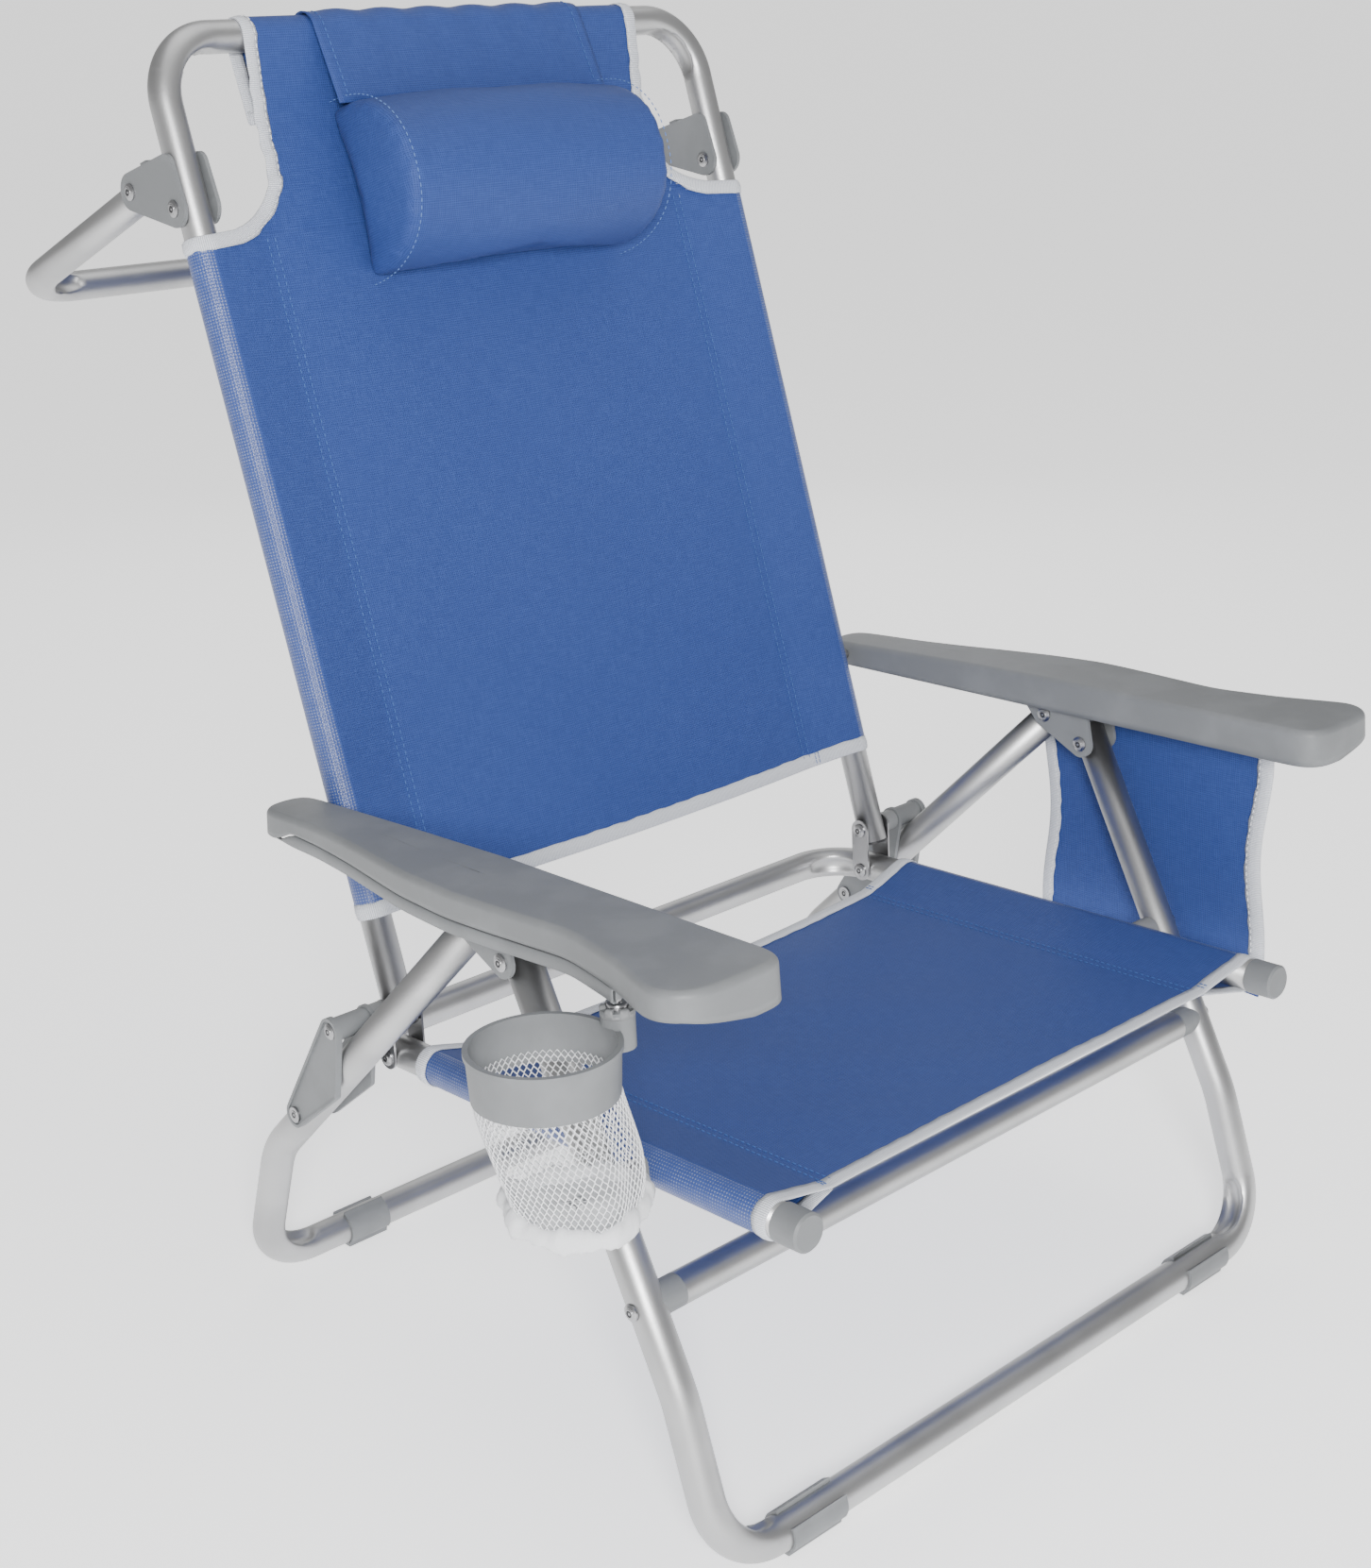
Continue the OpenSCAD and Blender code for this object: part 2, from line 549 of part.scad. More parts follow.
module cup_net() framed() arm_space(-1) color("white")
    translate([cup_centre[0], cup_centre[1], cup_top - cup_ring_h]) difference() {
        union() {
            cylinder(h = 8, r = cup_r);
            translate([0, 0, -net_depth]) cylinder(h = net_depth, r1 = cup_r - 5, r2 = cup_r);
        }
        cylinder(h = 9, r = cup_r - net_t);
        translate([0, 0, -net_depth + net_t])
            cylinder(h = net_depth - net_t + 0.01, r1 = cup_r - 5 - net_t, r2 = cup_r - net_t);
    }
module cup_screw() framed() arm_space(-1) color("lightgray") translate([cup_pivot[0], cup_pivot[1], 0]) {
    translate([0, 0, cup_top - 17]) cylinder(h = 3, r = 4.5);
    translate([0, 0, cup_top - 15]) cylinder(h = arm_base + 18 - cup_top + 15, r = rivet_r);
    translate([0, 0, boss_top]) cylinder(h = 3, r = 6);
}
module side_pouch() framed() arm_space(1) color("royalblue") translate([pouch_u, pouch_front, arm_base - pouch_h]) {
    cube([fabric, pouch_w, pouch_h - 0.2]);
    cube([pouch_gap + 2 * fabric, pouch_w, fabric]);
    translate([pouch_gap + fabric, 0, 0]) cube([fabric, pouch_w, pouch_h * 0.78]);
    for (v = [0, pouch_w - fabric]) translate([0, v, 0]) cube([pouch_gap + fabric * 2, fabric, pouch_h * 0.78]);
}

seat_frame();
seat_caps();
seat_sling();
hinge_straps();
strap_rivets();
back_hinge_rivets();
link_spacers();
leg_spacers();
leg_pivot_rivets();
back_frame();
back_plugs();
back_sling();
headrest_pillow();
headrest_flap();
arm_studs();
bail_tube();
bail_bracket_right();
bail_bracket_left();
bail_rivets();
bail_pivot_rivets();
front_leg();
front_cross_tube();
cross_plugs();
cross_rivets();
front_feet();
rear_leg();
rear_feet();
rear_link_right();
rear_link_left();
link_rivets_right();
link_rivets_left();
armrest_right();
armrest_left();
arm_housing_right();
arm_housing_left();
arm_rivets_right();
arm_rivets_left();
cup_ring();
cup_net();
cup_screw();
side_pouch();
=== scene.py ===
import bpy
import json
import numpy as np
from math import acos, copysign, cos, degrees, exp, pi, radians, sin, sqrt, tan
from mathutils import Matrix, Vector

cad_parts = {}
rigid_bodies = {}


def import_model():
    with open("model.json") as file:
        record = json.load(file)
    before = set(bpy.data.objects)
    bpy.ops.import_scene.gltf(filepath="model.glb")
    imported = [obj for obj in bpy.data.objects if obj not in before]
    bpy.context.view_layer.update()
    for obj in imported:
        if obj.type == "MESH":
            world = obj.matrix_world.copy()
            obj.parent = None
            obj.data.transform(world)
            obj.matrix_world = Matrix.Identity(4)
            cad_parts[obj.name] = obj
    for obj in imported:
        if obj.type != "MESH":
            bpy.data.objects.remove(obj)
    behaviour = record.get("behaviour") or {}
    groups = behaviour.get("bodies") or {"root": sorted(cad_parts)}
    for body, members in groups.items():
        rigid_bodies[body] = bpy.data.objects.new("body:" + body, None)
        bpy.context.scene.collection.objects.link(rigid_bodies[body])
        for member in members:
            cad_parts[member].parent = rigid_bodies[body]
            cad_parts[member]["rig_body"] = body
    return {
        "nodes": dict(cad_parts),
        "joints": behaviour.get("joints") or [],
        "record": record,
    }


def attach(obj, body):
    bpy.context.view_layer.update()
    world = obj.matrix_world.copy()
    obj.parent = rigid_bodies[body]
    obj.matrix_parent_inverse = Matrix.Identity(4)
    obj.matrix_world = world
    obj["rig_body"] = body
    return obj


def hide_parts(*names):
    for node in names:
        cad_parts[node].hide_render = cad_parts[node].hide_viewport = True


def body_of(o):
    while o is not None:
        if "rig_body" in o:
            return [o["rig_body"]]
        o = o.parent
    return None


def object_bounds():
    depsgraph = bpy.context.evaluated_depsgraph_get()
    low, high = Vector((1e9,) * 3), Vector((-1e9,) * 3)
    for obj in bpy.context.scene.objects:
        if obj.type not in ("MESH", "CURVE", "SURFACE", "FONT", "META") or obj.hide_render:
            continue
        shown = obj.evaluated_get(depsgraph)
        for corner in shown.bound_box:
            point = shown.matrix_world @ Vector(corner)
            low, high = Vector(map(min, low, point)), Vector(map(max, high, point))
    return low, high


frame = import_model()
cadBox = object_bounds()
record = frame["record"]
joint = {j["name"]: Vector(j["pos_m"]) for j in frame["joints"]}
midX = (joint["arm_left_pivot"].x + joint["arm_right_pivot"].x) / 2
bothSides = (("Right", -1), ("Left", 1))


def show(made):
    bpy.context.scene.collection.objects.link(made)


def turned(origin, tilt, base=None):
    made = Matrix.Translation(origin) @ Matrix.Rotation(radians(tilt), 4, "X")
    return base @ made if base else made


def lean(tilt):
    return np.array([0, sin(radians(tilt)), cos(radians(tilt))])


# where each part of the chair has its own axes
chair = {"legHalf": 0.294, "legR": 0.0125, "slimR": 0.0115, "seatR": 0.012, "railHalf": 0.251,
         "seatTilt": -2.6, "recline": -18.0, "armTilt": -1.66, "bailSlope": -5.2, "cornerR": 0.046,
         "footZ": 0.0145, "backLen": 0.691, "bailRivet": (0, 0.0507, 0.601)}
railPivot, hinge, armPivot = joint["leg_fold"], joint["back_recline"], joint["arm_left_pivot"]
seatSpace = turned((midX, railPivot.y, railPivot.z), chair["seatTilt"])
backSpace = turned((midX, hinge.y, hinge.z), chair["recline"])
bailSpace = turned(chair["bailRivet"], chair["bailSlope"], backSpace)


def armSpace(side):
    return turned((midX + side * chair["legHalf"], armPivot.y, armPivot.z), chair["armTilt"]) \
        @ Matrix.Diagonal((side, 1, 1, 1))


class Link:  # a node output that takes Python arithmetic
    def __init__(self, graph, socket):
        self.graph, self.socket = graph, socket

    def calc(self, operation, *values):
        return self.graph.node("ShaderNodeMath", {"operation": operation}, values)

    def __add__(self, other):
        return self.calc("ADD", self, other)

    def __sub__(self, other):
        return self.calc("SUBTRACT", self, other)

    def __rsub__(self, other):
        return self.calc("SUBTRACT", other, self)

    def __mul__(self, other):
        return self.calc("MULTIPLY", self, other)

    __radd__, __rmul__ = __add__, __mul__


class Finish:  # one material, built up node by node
    def __init__(self, name, **constants):
        self.material = bpy.data.materials.new(name)
        self.material.use_nodes = True
        self.tree = self.material.node_tree
        self.tree.nodes.clear()
        self.shader = self.tree.nodes.new("ShaderNodeBsdfPrincipled")
        end = self.tree.nodes.new("ShaderNodeOutputMaterial")
        self.tree.links.new(self.shader.outputs[0], end.inputs[0])
        for name, value in constants.items():
            self.shader.inputs[name.replace("_", " ")].default_value = value

    def node(self, kind, settings=None, sockets=(), out=0):
        made = self.tree.nodes.new(kind)
        for key, value in (settings or {}).items():
            setattr(made, key, value)
        for key, value in (sockets.items() if isinstance(sockets, dict) else enumerate(sockets)):
            if isinstance(value, Link):
                self.tree.links.new(value.socket, made.inputs[key])
            else:
                made.inputs[key].default_value = value
        return Link(self, made.outputs[out])

    def feed(self, **links):
        for name, link in links.items():
            self.tree.links.new(link.socket, self.shader.inputs[name.replace("_", " ")])
        return self

    def coords(self, kind="Object", stretch=(1, 1, 1)):
        return self.node("ShaderNodeMapping", {}, {"Vector": self.node("ShaderNodeTexCoord", out=kind),
                                                   "Scale": stretch})

    def noise(self, where, scale, detail=3.0, rough=0.55):
        return self.node("ShaderNodeTexNoise", {}, {"Vector": where, "Scale": scale, "Detail": detail,
                                                    "Roughness": rough})

    def band(self, value, low, high, toLow=0.0, toHigh=1.0):
        return self.node("ShaderNodeMapRange", {"interpolation_type": "SMOOTHSTEP"},
                         [value, low, high, toLow, toHigh])

    def blend(self, share, first, second):
        return self.node("ShaderNodeMix", {"data_type": "RGBA"}, {0: share, 6: first, 7: second}, out=2)

    def bump(self, height, distance, strength=1.0):
        return self.node("ShaderNodeBump", {}, {"Strength": strength, "Distance": distance, "Height": height})

    def axis(self, vector, letter):
        return self.node("ShaderNodeSeparateXYZ", {}, [vector], out=letter)


def aluminium(name, tint, rough, grain):
    f = Finish(name, Metallic=1.0)
    where = f.coords()
    fine = f.noise(where, grain, 4)
    wide = f.noise(where, 14, 2)
    marks = f.band(f.noise(f.coords(stretch=(1, 1, 6)), 90, 2), 0.62, 0.72)
    dull = [c * 0.84 for c in tint]
    f.feed(Base_Color=f.blend(f.band(wide, 0.35, 0.7), (*tint, 1), (*dull, 1)),
           Roughness=fine * 0.08 + wide * 0.08 + marks * 0.06 + (rough - 0.08),
           Normal=f.bump(fine, 0.00012, 0.5))
    return f.material


def plastic(name, tint, rough, bumpiness=0.00015):
    f = Finish(name, Specular_IOR_Level=0.42)
    where = f.coords()
    grit = f.noise(where, 900, 2)
    cloud = f.noise(where, 22, 3)
    fade = [c * 1.14 for c in tint]
    f.feed(Base_Color=f.blend(f.band(cloud, 0.4, 0.65), (*tint, 1), (*fade, 1)),
           Roughness=grit * 0.1 + cloud * 0.08 + (rough - 0.09),
           Normal=f.bump(grit, bumpiness, 0.6))
    return f.material


def weave(f, where, pitch):  # plain weave of round threads, from 0 in the holes to 1 on the threads
    u = f.axis(where, "X") * (pi / pitch)
    v = f.axis(where, "Y") * (pi / pitch)
    su, sv = u.calc("SINE", u), v.calc("SINE", v)
    cross = su * sv * 0.4
    warp = su.calc("ABSOLUTE", su) * 0.6 + cross
    weft = sv.calc("ABSOLUTE", sv) * 0.6 - cross
    return warp.calc("MAXIMUM", warp, weft)


def wovenBlue(name, pitch=0.0016, holes=0.0):
    f = Finish(name, Specular_IOR_Level=0.6 if holes else 0.22, Sheen_Weight=0.02, Sheen_Roughness=0.5)
    where = f.coords("UV")
    thread = weave(f, where, pitch)
    cloud = f.noise(f.coords(), 9, 4)
    slub = f.noise(f.coords("UV", (1, 0.08, 1)), 900, 2)
    fleck = f.noise(f.coords("UV", (0.08, 1, 1)), 900, 2)
    # the holes between the threads are painted a dark blue as the shade in them; the threads have their own
    # blue
    deep, mid, pale = (0.008, 0.020, 0.085, 1), (0.028, 0.058, 0.222, 1), (0.037, 0.074, 0.262, 1)
    lit = f.blend(f.band(slub + fleck, 0.8, 1.25), mid, pale)
    lit = f.blend(f.band(cloud, 0.35, 0.7, 0, 0.3), lit, (0.030, 0.062, 0.236, 1))
    if holes:  # the tube shines through the holes
        through = f.band(f.noise(f.coords("UV"), 90, 2), 0.35, 0.65, holes * 0.55, holes)
        deep = f.blend(through, deep, (0.62, 0.66, 0.74, 1))
    # the threads take their blue and the holes take the painted shade, by thread height
    f.feed(Base_Color=f.blend(f.band(thread, 0.12, 0.5), deep, lit),
           Roughness=(0.46 if holes else 0.62) - f.band(thread, 0.4, 0.9) * 0.14,
           Normal=f.bump(thread + slub * 0.15, 0.00035, 0.75))
    return f.material


def tapeWhite(name):  # ribbed binding tape: the ribs run across the tape
    f = Finish(name, Sheen_Weight=0.15, Specular_IOR_Level=0.35)
    where = f.coords("UV")
    rib = f.axis(where, "X") * (pi / 0.0013)
    rib = rib.calc("ABSOLUTE", rib.calc("SINE", rib))
    fuzz = f.noise(where, 700, 2)
    edge = f.axis(where, "Y") * (pi / 0.0022)
    edge = edge.calc("ABSOLUTE", edge.calc("SINE", edge))
    # the grooves between the ribs are painted dark grey as their shade; the tape itself is white
    f.feed(Base_Color=f.blend(rib * 0.75 + fuzz * 0.25, (0.30, 0.32, 0.38, 1), (0.76, 0.78, 0.82, 1)),
           Roughness=0.78 - rib * 0.14, Normal=f.bump(rib + edge * 0.35 + fuzz * 0.3, 0.0004, 0.8))
    return f.material


def plainThread(name, tint):
    f = Finish(name, Specular_IOR_Level=0.4)
    fuzz = f.noise(f.coords(), 1500, 2)
    f.feed(Base_Color=f.blend(fuzz, (*[c * 0.8 for c in tint], 1), (*tint, 1)), Roughness=fuzz * 0.2 + 0.5,
           Normal=f.bump(fuzz, 0.0002, 0.5))
    return f.material


looks = {"tube": aluminium("satinAluminium", (0.50, 0.50, 0.503), 0.42, 700),
         "rivet": aluminium("platedSteel", (0.42, 0.42, 0.43), 0.28, 900),
         "strap": aluminium("platedStrip", (0.36, 0.36, 0.37), 0.34, 600),
         "grey_plastic": plastic("greyMoulding", (0.158, 0.165, 0.171), 0.48),
         "pale_plastic": plastic("paleMoulding", (0.20, 0.205, 0.21), 0.44),
         "dark_plastic": plastic("blackMoulding", (0.02, 0.02, 0.022), 0.5),
         "blue_fabric": wovenBlue("blueSling"),
         "net": plainThread("whiteNet", (0.86, 0.87, 0.89))}
tape, blueThread = tapeWhite("whiteTape"), plainThread("blueThread", (0.050, 0.120, 0.360))
paleThread = plainThread("paleBlueThread", (0.11, 0.21, 0.50))
softTape, openBlue = plainThread("whiteHem", (0.80, 0.81, 0.83)), wovenBlue("blueOverTube", 0.0022, 0.4)
for sub in record["subparts"]:
    shown = frame["nodes"][sub["node"]]
    shown.data.materials.clear()
    shown.data.materials.append(looks[sub["material_slot"]])
print("materials made")


def place(space, points):
    m = np.array(space)
    return np.asarray(points, float) @ m[:3, :3].T + m[:3, 3]


def piece(name, points, faces, body, slot, stands=(), uvs=None, flip=False, material=None):
    mesh = bpy.data.meshes.new(name)
    points = np.reshape(points, (-1, 3))
    mesh.from_pydata([tuple(p) for p in points], [], [f[::-1] for f in faces] if flip else faces)
    mesh.validate()
    if uvs is not None:
        layer = mesh.uv_layers.new(name="UVMap")
        index = np.zeros(len(mesh.loops), int)
        mesh.loops.foreach_get("vertex_index", index)
        layer.data.foreach_set("uv", np.reshape(uvs, (-1, 2)).astype(np.float32)[index].ravel())
    mesh.materials.append(material or looks[slot])
    mesh.polygons.foreach_set("use_smooth", [True] * len(mesh.polygons))
    made = bpy.data.objects.new(name, mesh)
    show(made)
    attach(made, body)
    if stands:
        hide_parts(*stands)
    return made


# closed joins the ends of each row, hoop joins the last row to the first
def gridFaces(rows, columns, closed=False, hoop=False):
    faces = []
    for r in range(rows if hoop else rows - 1):
        here, beyond = r * columns, (r + 1) % rows * columns
        for c in range(columns if closed else columns - 1):
            after = (c + 1) % columns
            faces.append((here + c, here + after, beyond + after, beyond + c))
    return faces


def addModifier(made, kind, **values):
    mod = made.modifiers.new(kind.title(), kind)
    for key, value in values.items():
        setattr(mod, key, value)
    return mod


def thicken(made, thickness, offset=0):
    addModifier(made, "SOLIDIFY", thickness=thickness, offset=offset)


def freeze(made):  # keeps the shape that the modifiers give
    graph = bpy.context.evaluated_depsgraph_get()
    mesh = bpy.data.meshes.new_from_object(made.evaluated_get(graph))
    made.modifiers.clear()
    made.data = mesh
    return made


def around(steps):  # the angles of a full turn, without its end
    return [2 * pi * k / steps for k in range(steps)]


def unit(vectors):
    vectors = np.asarray(vectors, float)
    return vectors / np.maximum(np.linalg.norm(vectors, axis=-1, keepdims=True), 1e-12)


def lengths(points):
    return np.concatenate([[0], np.cumsum(np.linalg.norm(np.diff(points, axis=0), axis=1))])


# tubes: crushed corners have a dent along the inside and a raised rim on both sides of it
crimp = {"depth": 0.0078, "dentR": 0.0098, "rim": 0.0009, "rimAt": 62, "rimWide": 22, "leads": (0.016, 0.005)}


# a centre line with round corners, the inward direction and the share of the dent at each point
def roundedPath(corners, radii, crimped):
    corners = [np.array(c, float) for c in corners]
    line, inward, dent = [corners[0]], [np.zeros(3)], [0.0]

    def add(point, into, share):
        line.append(point)
        inward.append(into)
        dent.append(share)

    for i, radius in enumerate(radii, 1):
        back, ahead = unit(corners[i - 1] - corners[i]), unit(corners[i + 1] - corners[i])
        turn = pi - acos(np.clip(back @ ahead, -1, 1))
        reach = radius * tan(turn / 2)
        middle = unit(back + ahead)
        centre = corners[i] + middle * radius / cos(turn / 2)
        start, stop = corners[i] + back * reach - centre, corners[i] + ahead * reach - centre
        steps = max(4, int(degrees(turn) / 3))
        for lead in crimp["leads"]:
            add(centre + start + back * lead, -start / radius, 0.0)
        for k in range(steps + 1):
            t = k / steps
            away = (start * sin((1 - t) * turn) + stop * sin(t * turn)) / sin(turn)
            add(centre + away, -away / radius,
                sin(pi * t) ** 0.55 if i in crimped and 0 < k < steps else 0.0)
        for lead in crimp["leads"][::-1]:
            add(centre + stop + ahead * lead, -stop / radius, 0.0)
    add(corners[-1], np.zeros(3), 0.0)
    return np.array(line), np.array(inward), np.array(dent)


def bentTube(name, space, corners, radii, crimped, radius, body, stands, depth=crimp["depth"], sides=56):
    dentR = crimp["dentR"]
    line, inward, dent = roundedPath(corners, radii, crimped)
    heading = unit(np.gradient(line, axis=0))
    side = np.cross(heading[0], [0.0, 1.0, 0.02])
    angle = np.linspace(0, 2 * pi, sides, endpoint=False)
    rings = []
    for p, h, into, share in zip(line, heading, inward, dent):
        side = unit(side - h * (side @ h))
        spoke = np.outer(np.cos(angle), side) + np.outer(np.sin(angle), np.cross(h, side))
        reach = np.full(sides, radius)
        if share > 0:
            gap = radius - depth * share + dentR
            facing = spoke @ unit(into)
            under = dentR ** 2 - gap ** 2 * (1 - facing ** 2)
            hit = gap * facing - np.sqrt(np.maximum(under, 0))
            reach = np.where((under > 0) & (facing > 0), np.minimum(reach, hit), reach)
            off = np.degrees(np.arccos(np.clip(facing, -1, 1))) - crimp["rimAt"]
            reach = reach + np.exp(-(off / crimp["rimWide"]) ** 2) * crimp["rim"] * share
        rings.append(p + spoke * reach[:, None])
    faces = gridFaces(len(rings), sides, closed=True)
    faces += [tuple(range(sides))[::-1], tuple(range((len(rings) - 1) * sides, len(rings) * sides))]
    made = piece(name, place(space, np.concatenate(rings)), faces, body, "tube", [stands])
    made.data.polygons[-1].use_smooth = made.data.polygons[-2].use_smooth = False
    return made


legs = {"front": {"upper": 27.8, "lower": 18.8, "kneeR": 0.13, "toKnee": 0.140, "top": 0.309},
        "rear": {"upper": -45.0, "lower": -18.4, "kneeR": 0.075, "toKnee": 0.382, "top": 0.392}}
half, cornerR, rail = chair["legHalf"], chair["cornerR"], chair["railHalf"]


def legTube(which, pivot):  # from the pivot down to the knee and the floor; gives the middle of its floor run
    leg = legs[which]
    knee = np.array([0, pivot.y, pivot.z]) - leg["toKnee"] * lean(leg["upper"])
    low = (knee[2] - chair["footZ"]) / cos(radians(leg["lower"]))
    foot = knee - low * lean(leg["lower"])
    bend = radians(leg["upper"] - leg["lower"])
    topY, topZ = sin(bend) * leg["top"], low + cos(bend) * leg["top"]
    right = [(-half, topY, topZ), (-half, 0, low), (-half, 0, 0)]
    left = [(-x, y, z) for x, y, z in right[::-1]]
    bentTube(which + "LegTube", turned((midX, foot[1], foot[2]), -leg["lower"]), right + left,
             [leg["kneeR"], cornerR, cornerR, leg["kneeR"]], (2, 3), chair["legR"], which + "_leg",
             which + "_leg")
    return foot


def frameTube(name, space, low, high, upright, radius, body, stands, bendR=cornerR, depth=crimp["depth"]):
    ends = [(-rail, low), (-rail, high), (rail, high), (rail, low)]
    corners = [(x, 0, far) if upright else (x, far, 0) for x, far in ends]
    bentTube(name, space, corners, [bendR] * 2, (1, 2), radius, body, stands, depth)


frontFoot = legTube("front", railPivot)
rearFoot = legTube("rear", joint["rear_leg_pivot"])
slim, top = chair["slimR"], chair["backLen"]
frameTube("backFrameTube", backSpace, -0.012, top, True, slim, "back", "back_frame")
frameTube("bailTube", bailSpace, -0.014, 0.222, False, slim, "bail", "bail_tube")
frameTube("seatFrameTube", seatSpace, -0.133, 0.316, False, chair["seatR"], "seat", "seat_frame",
          bendR=0.04, depth=0.0045)

# foot clips: a C round the floor run of each leg with a flat sole and rolled lips at the opening
clip = {"wall": 0.002, "sole": 0.008, "lip": 0.0011, "lipAngle": 7, "out": 0.243, "flatFrom": 0.72,
        "flatTo": 0.55, "bore": 1.003, "steps": 61, "bevel": 0.0006}


def footClip(which, foot, far, near, gap):  # gap is where the opening starts and ends, in degrees
    tubeR = chair["legR"]
    turn = np.radians(np.linspace(gap[1], gap[0] + 360, clip["steps"]))
    outer = []
    for t in turn:
        toLip = degrees(min(t - turn[0], turn[-1] - t))
        r = tubeR + clip["wall"] + clip["lip"] * exp(-(toLip / clip["lipAngle"]) ** 2)
        y, z = r * cos(t), r * sin(t)
        if z < -tubeR * clip["flatFrom"]:
            y = clip["sole"] * np.clip(y / (clip["flatTo"] * tubeR), -1, 1)
            z = max(-chair["footZ"], z * 1.16)
        outer.append((y, z))
    inner = [(tubeR * clip["bore"] * cos(t), tubeR * clip["bore"] * sin(t)) for t in turn[::-1]]
    loop = np.array(outer + inner)
    count = len(loop)
    faces = gridFaces(2, count, closed=True)
    for first, last in ((0, count - 1), (count, 2 * count - 1)):
        faces += [(first + k, first + k + 1, last - 1 - k, last - k) for k in range(len(outer) - 1)]
    for label, sign in bothSides:
        points = [np.column_stack([np.full(count, midX + sign * (clip["out"] - x)), loop + foot[1:]])
                  for x in (far, near)]
        made = piece(f"{which}Foot{label}", points, faces, which + "_leg", "grey_plastic", [which + "_feet"])
        addModifier(made, "BEVEL", width=clip["bevel"], segments=2, limit_method="ANGLE", angle_limit=0.9)


footClip("front", frontFoot, 0.050, 0, (78, 142))
footClip("rear", rearFoot, 0.062, 0.025, (38, 102))
print("tubes made")


# cloth helpers
def gridNormals(points, toward=None, row=30):  # turned so that they look toward the given side
    n = unit(np.cross(np.gradient(points, axis=1), np.gradient(points, axis=0)))
    return n if toward is None or n[row, points.shape[1] // 2] @ toward > 0 else -n


def gridUvs(points):  # metres along and across the cloth, measured from its middle column
    middle = points.shape[1] // 2
    across = np.array([lengths(row) for row in points])
    along = np.repeat(lengths(points[:, middle])[:, None], points.shape[1], 1)
    return np.stack([across - across[:, [middle]], along], -1).reshape(-1, 2)


def clothPiece(name, grid, body, stands, thickness):
    made = piece(name, grid, gridFaces(*grid.shape[:2]), body, "blue_fabric", [stands], gridUvs(grid))
    thicken(made, thickness)
    return made


def binding(name, edge, inward, normal, body, width=0.0095, gap=0.0009, pucker=0.0003):
    inward, normal = unit(inward), unit(normal)
    along = lengths(edge)
    wave = pucker * (np.sin(along * 300) + 0.6 * np.sin(along * 757 + 1) + 0.5 * np.sin(along * 121))
    shape = [(1, gap), (0.5, gap + 0.0004), (0.08, gap), (-0.07, gap * 0.7), (-0.12, 0), (-0.07, -gap * 0.7),
             (0.08, -gap), (0.5, -gap - 0.0004), (1, -gap)]
    rows = [edge + inward * (a * width + wave * (a > 0.3))[:, None]
            + normal * (b + np.sign(b) * np.abs(wave) * 0.7 * (0 < a < 1))[:, None] for a, b in shape]
    reach = lengths(np.array(shape) * (width, 1))
    uvs = np.stack([np.repeat(along[:, None], len(shape), 1), np.repeat(reach[None], len(edge), 0)], -1)
    made = piece(name, np.stack(rows, 1), gridFaces(len(edge), len(shape)), body, "net", uvs=uvs,
                 material=tape)
    thicken(made, 0.0006, 1)
    return made


def endBinding(name, grid, normals, end, body, width=0.0105):  # on a cloth's first row (0) or its last (-1)
    inward = grid[1 if end == 0 else -2] - grid[end]
    return binding(name, grid[end], inward, normals[end], body, width)


def stitches(name, line, normal, body, long=0.0034, gap=0.0018, thread=None):
    along, threadR = lengths(line), 0.0004
    points, faces = [], []

    def at(values, distance):
        return np.array([np.interp(distance, along, values[:, k]) for k in range(3)])

    for start in np.arange(0.001, along[-1] - long, long + gap):
        first, last = at(line, start), at(line, start + long)
        up = unit(at(normal, start)) * threadR
        side = unit(np.cross(last - first, up)) * threadR
        base = len(points)
        for share, fat in ((0, 0.4), (0.2, 1), (0.8, 1), (1, 0.4)):
            middle = first + (last - first) * share
            points += [middle + (side * cos(w) + up * sin(w)) * fat for w in around(6)]
        faces += [tuple(base + v for v in f) for f in gridFaces(4, 6, closed=True)]
        faces += [tuple(base + a for a in range(6))[::-1], tuple(base + 18 + a for a in range(6))]
    return piece(name, points, faces, body, "blue_fabric", material=thread or blueThread)


def lineAt(points, normals, x, rows, lift=0.0009):  # down a sling's face at one distance from the middle
    columns = np.arange(firstTop, points.shape[1] - firstTop)
    xs = points[len(points) // 2, columns, 0]
    order = np.argsort(xs)
    share = np.interp(midX + x, xs[order], columns[order])
    low = int(share)
    t = share - low
    line = points[:, low] * (1 - t) + points[:, low + 1] * t
    up = normals[:, low]
    return (line + up * lift)[rows], up[rows]


# the cross stitches that lock each tape's ends
tack = {"seat": 0.203, "back": 0.204, "apart": 0.0030, "lift": 0.0023, "long": 0.0032, "gap": 0.0004}
section = {"seam": 0.052, "rowsApart": 0.0065, "clear": 0.0007, "thick": 0.0011, "hollowTo": 0.012,
           "turnSteps": 30, "flankSteps": 8, "spacing": 0.006}
flank, bendSteps = section["flankSteps"] - 1, section["turnSteps"]


# across the chair: from one seam round its tube, over to the other tube and its seam
def slingSection(tubeR):
    r, seam = tubeR + section["clear"], section["seam"]
    start = pi - acos(r / seam)
    bend = [(r * cos(a), r * sin(a)) for a in np.linspace(-start, start, bendSteps)]
    ts = np.linspace(0, 1, flank + 1)
    low = [(-seam * (1 - t) + bend[0][0] * t, -0.0012 * (1 - t) + bend[0][1] * t) for t in ts[:-1]]
    high = [(-seam * t + bend[-1][0] * (1 - t), bend[-1][1] * (1 - t)) for t in ts[1:]]
    right = [(rail + x, h) for x, h in low + bend + high]
    inner = rail - seam
    flat = [(x, 0.0) for x in np.linspace(inner, -inner, int(2 * inner / section["spacing"]))[1:-1]]
    return np.array(right + flat + [(-x, h) for x, h in right[::-1]])


firstTop = flank + bendSteps - 1  # first column of the face that the sitter touches


def bulge(x, edge, power=1):  # 1 in the middle and 0 at the edge
    return np.clip(1 - (x / edge) ** 2, 0, 1) ** power


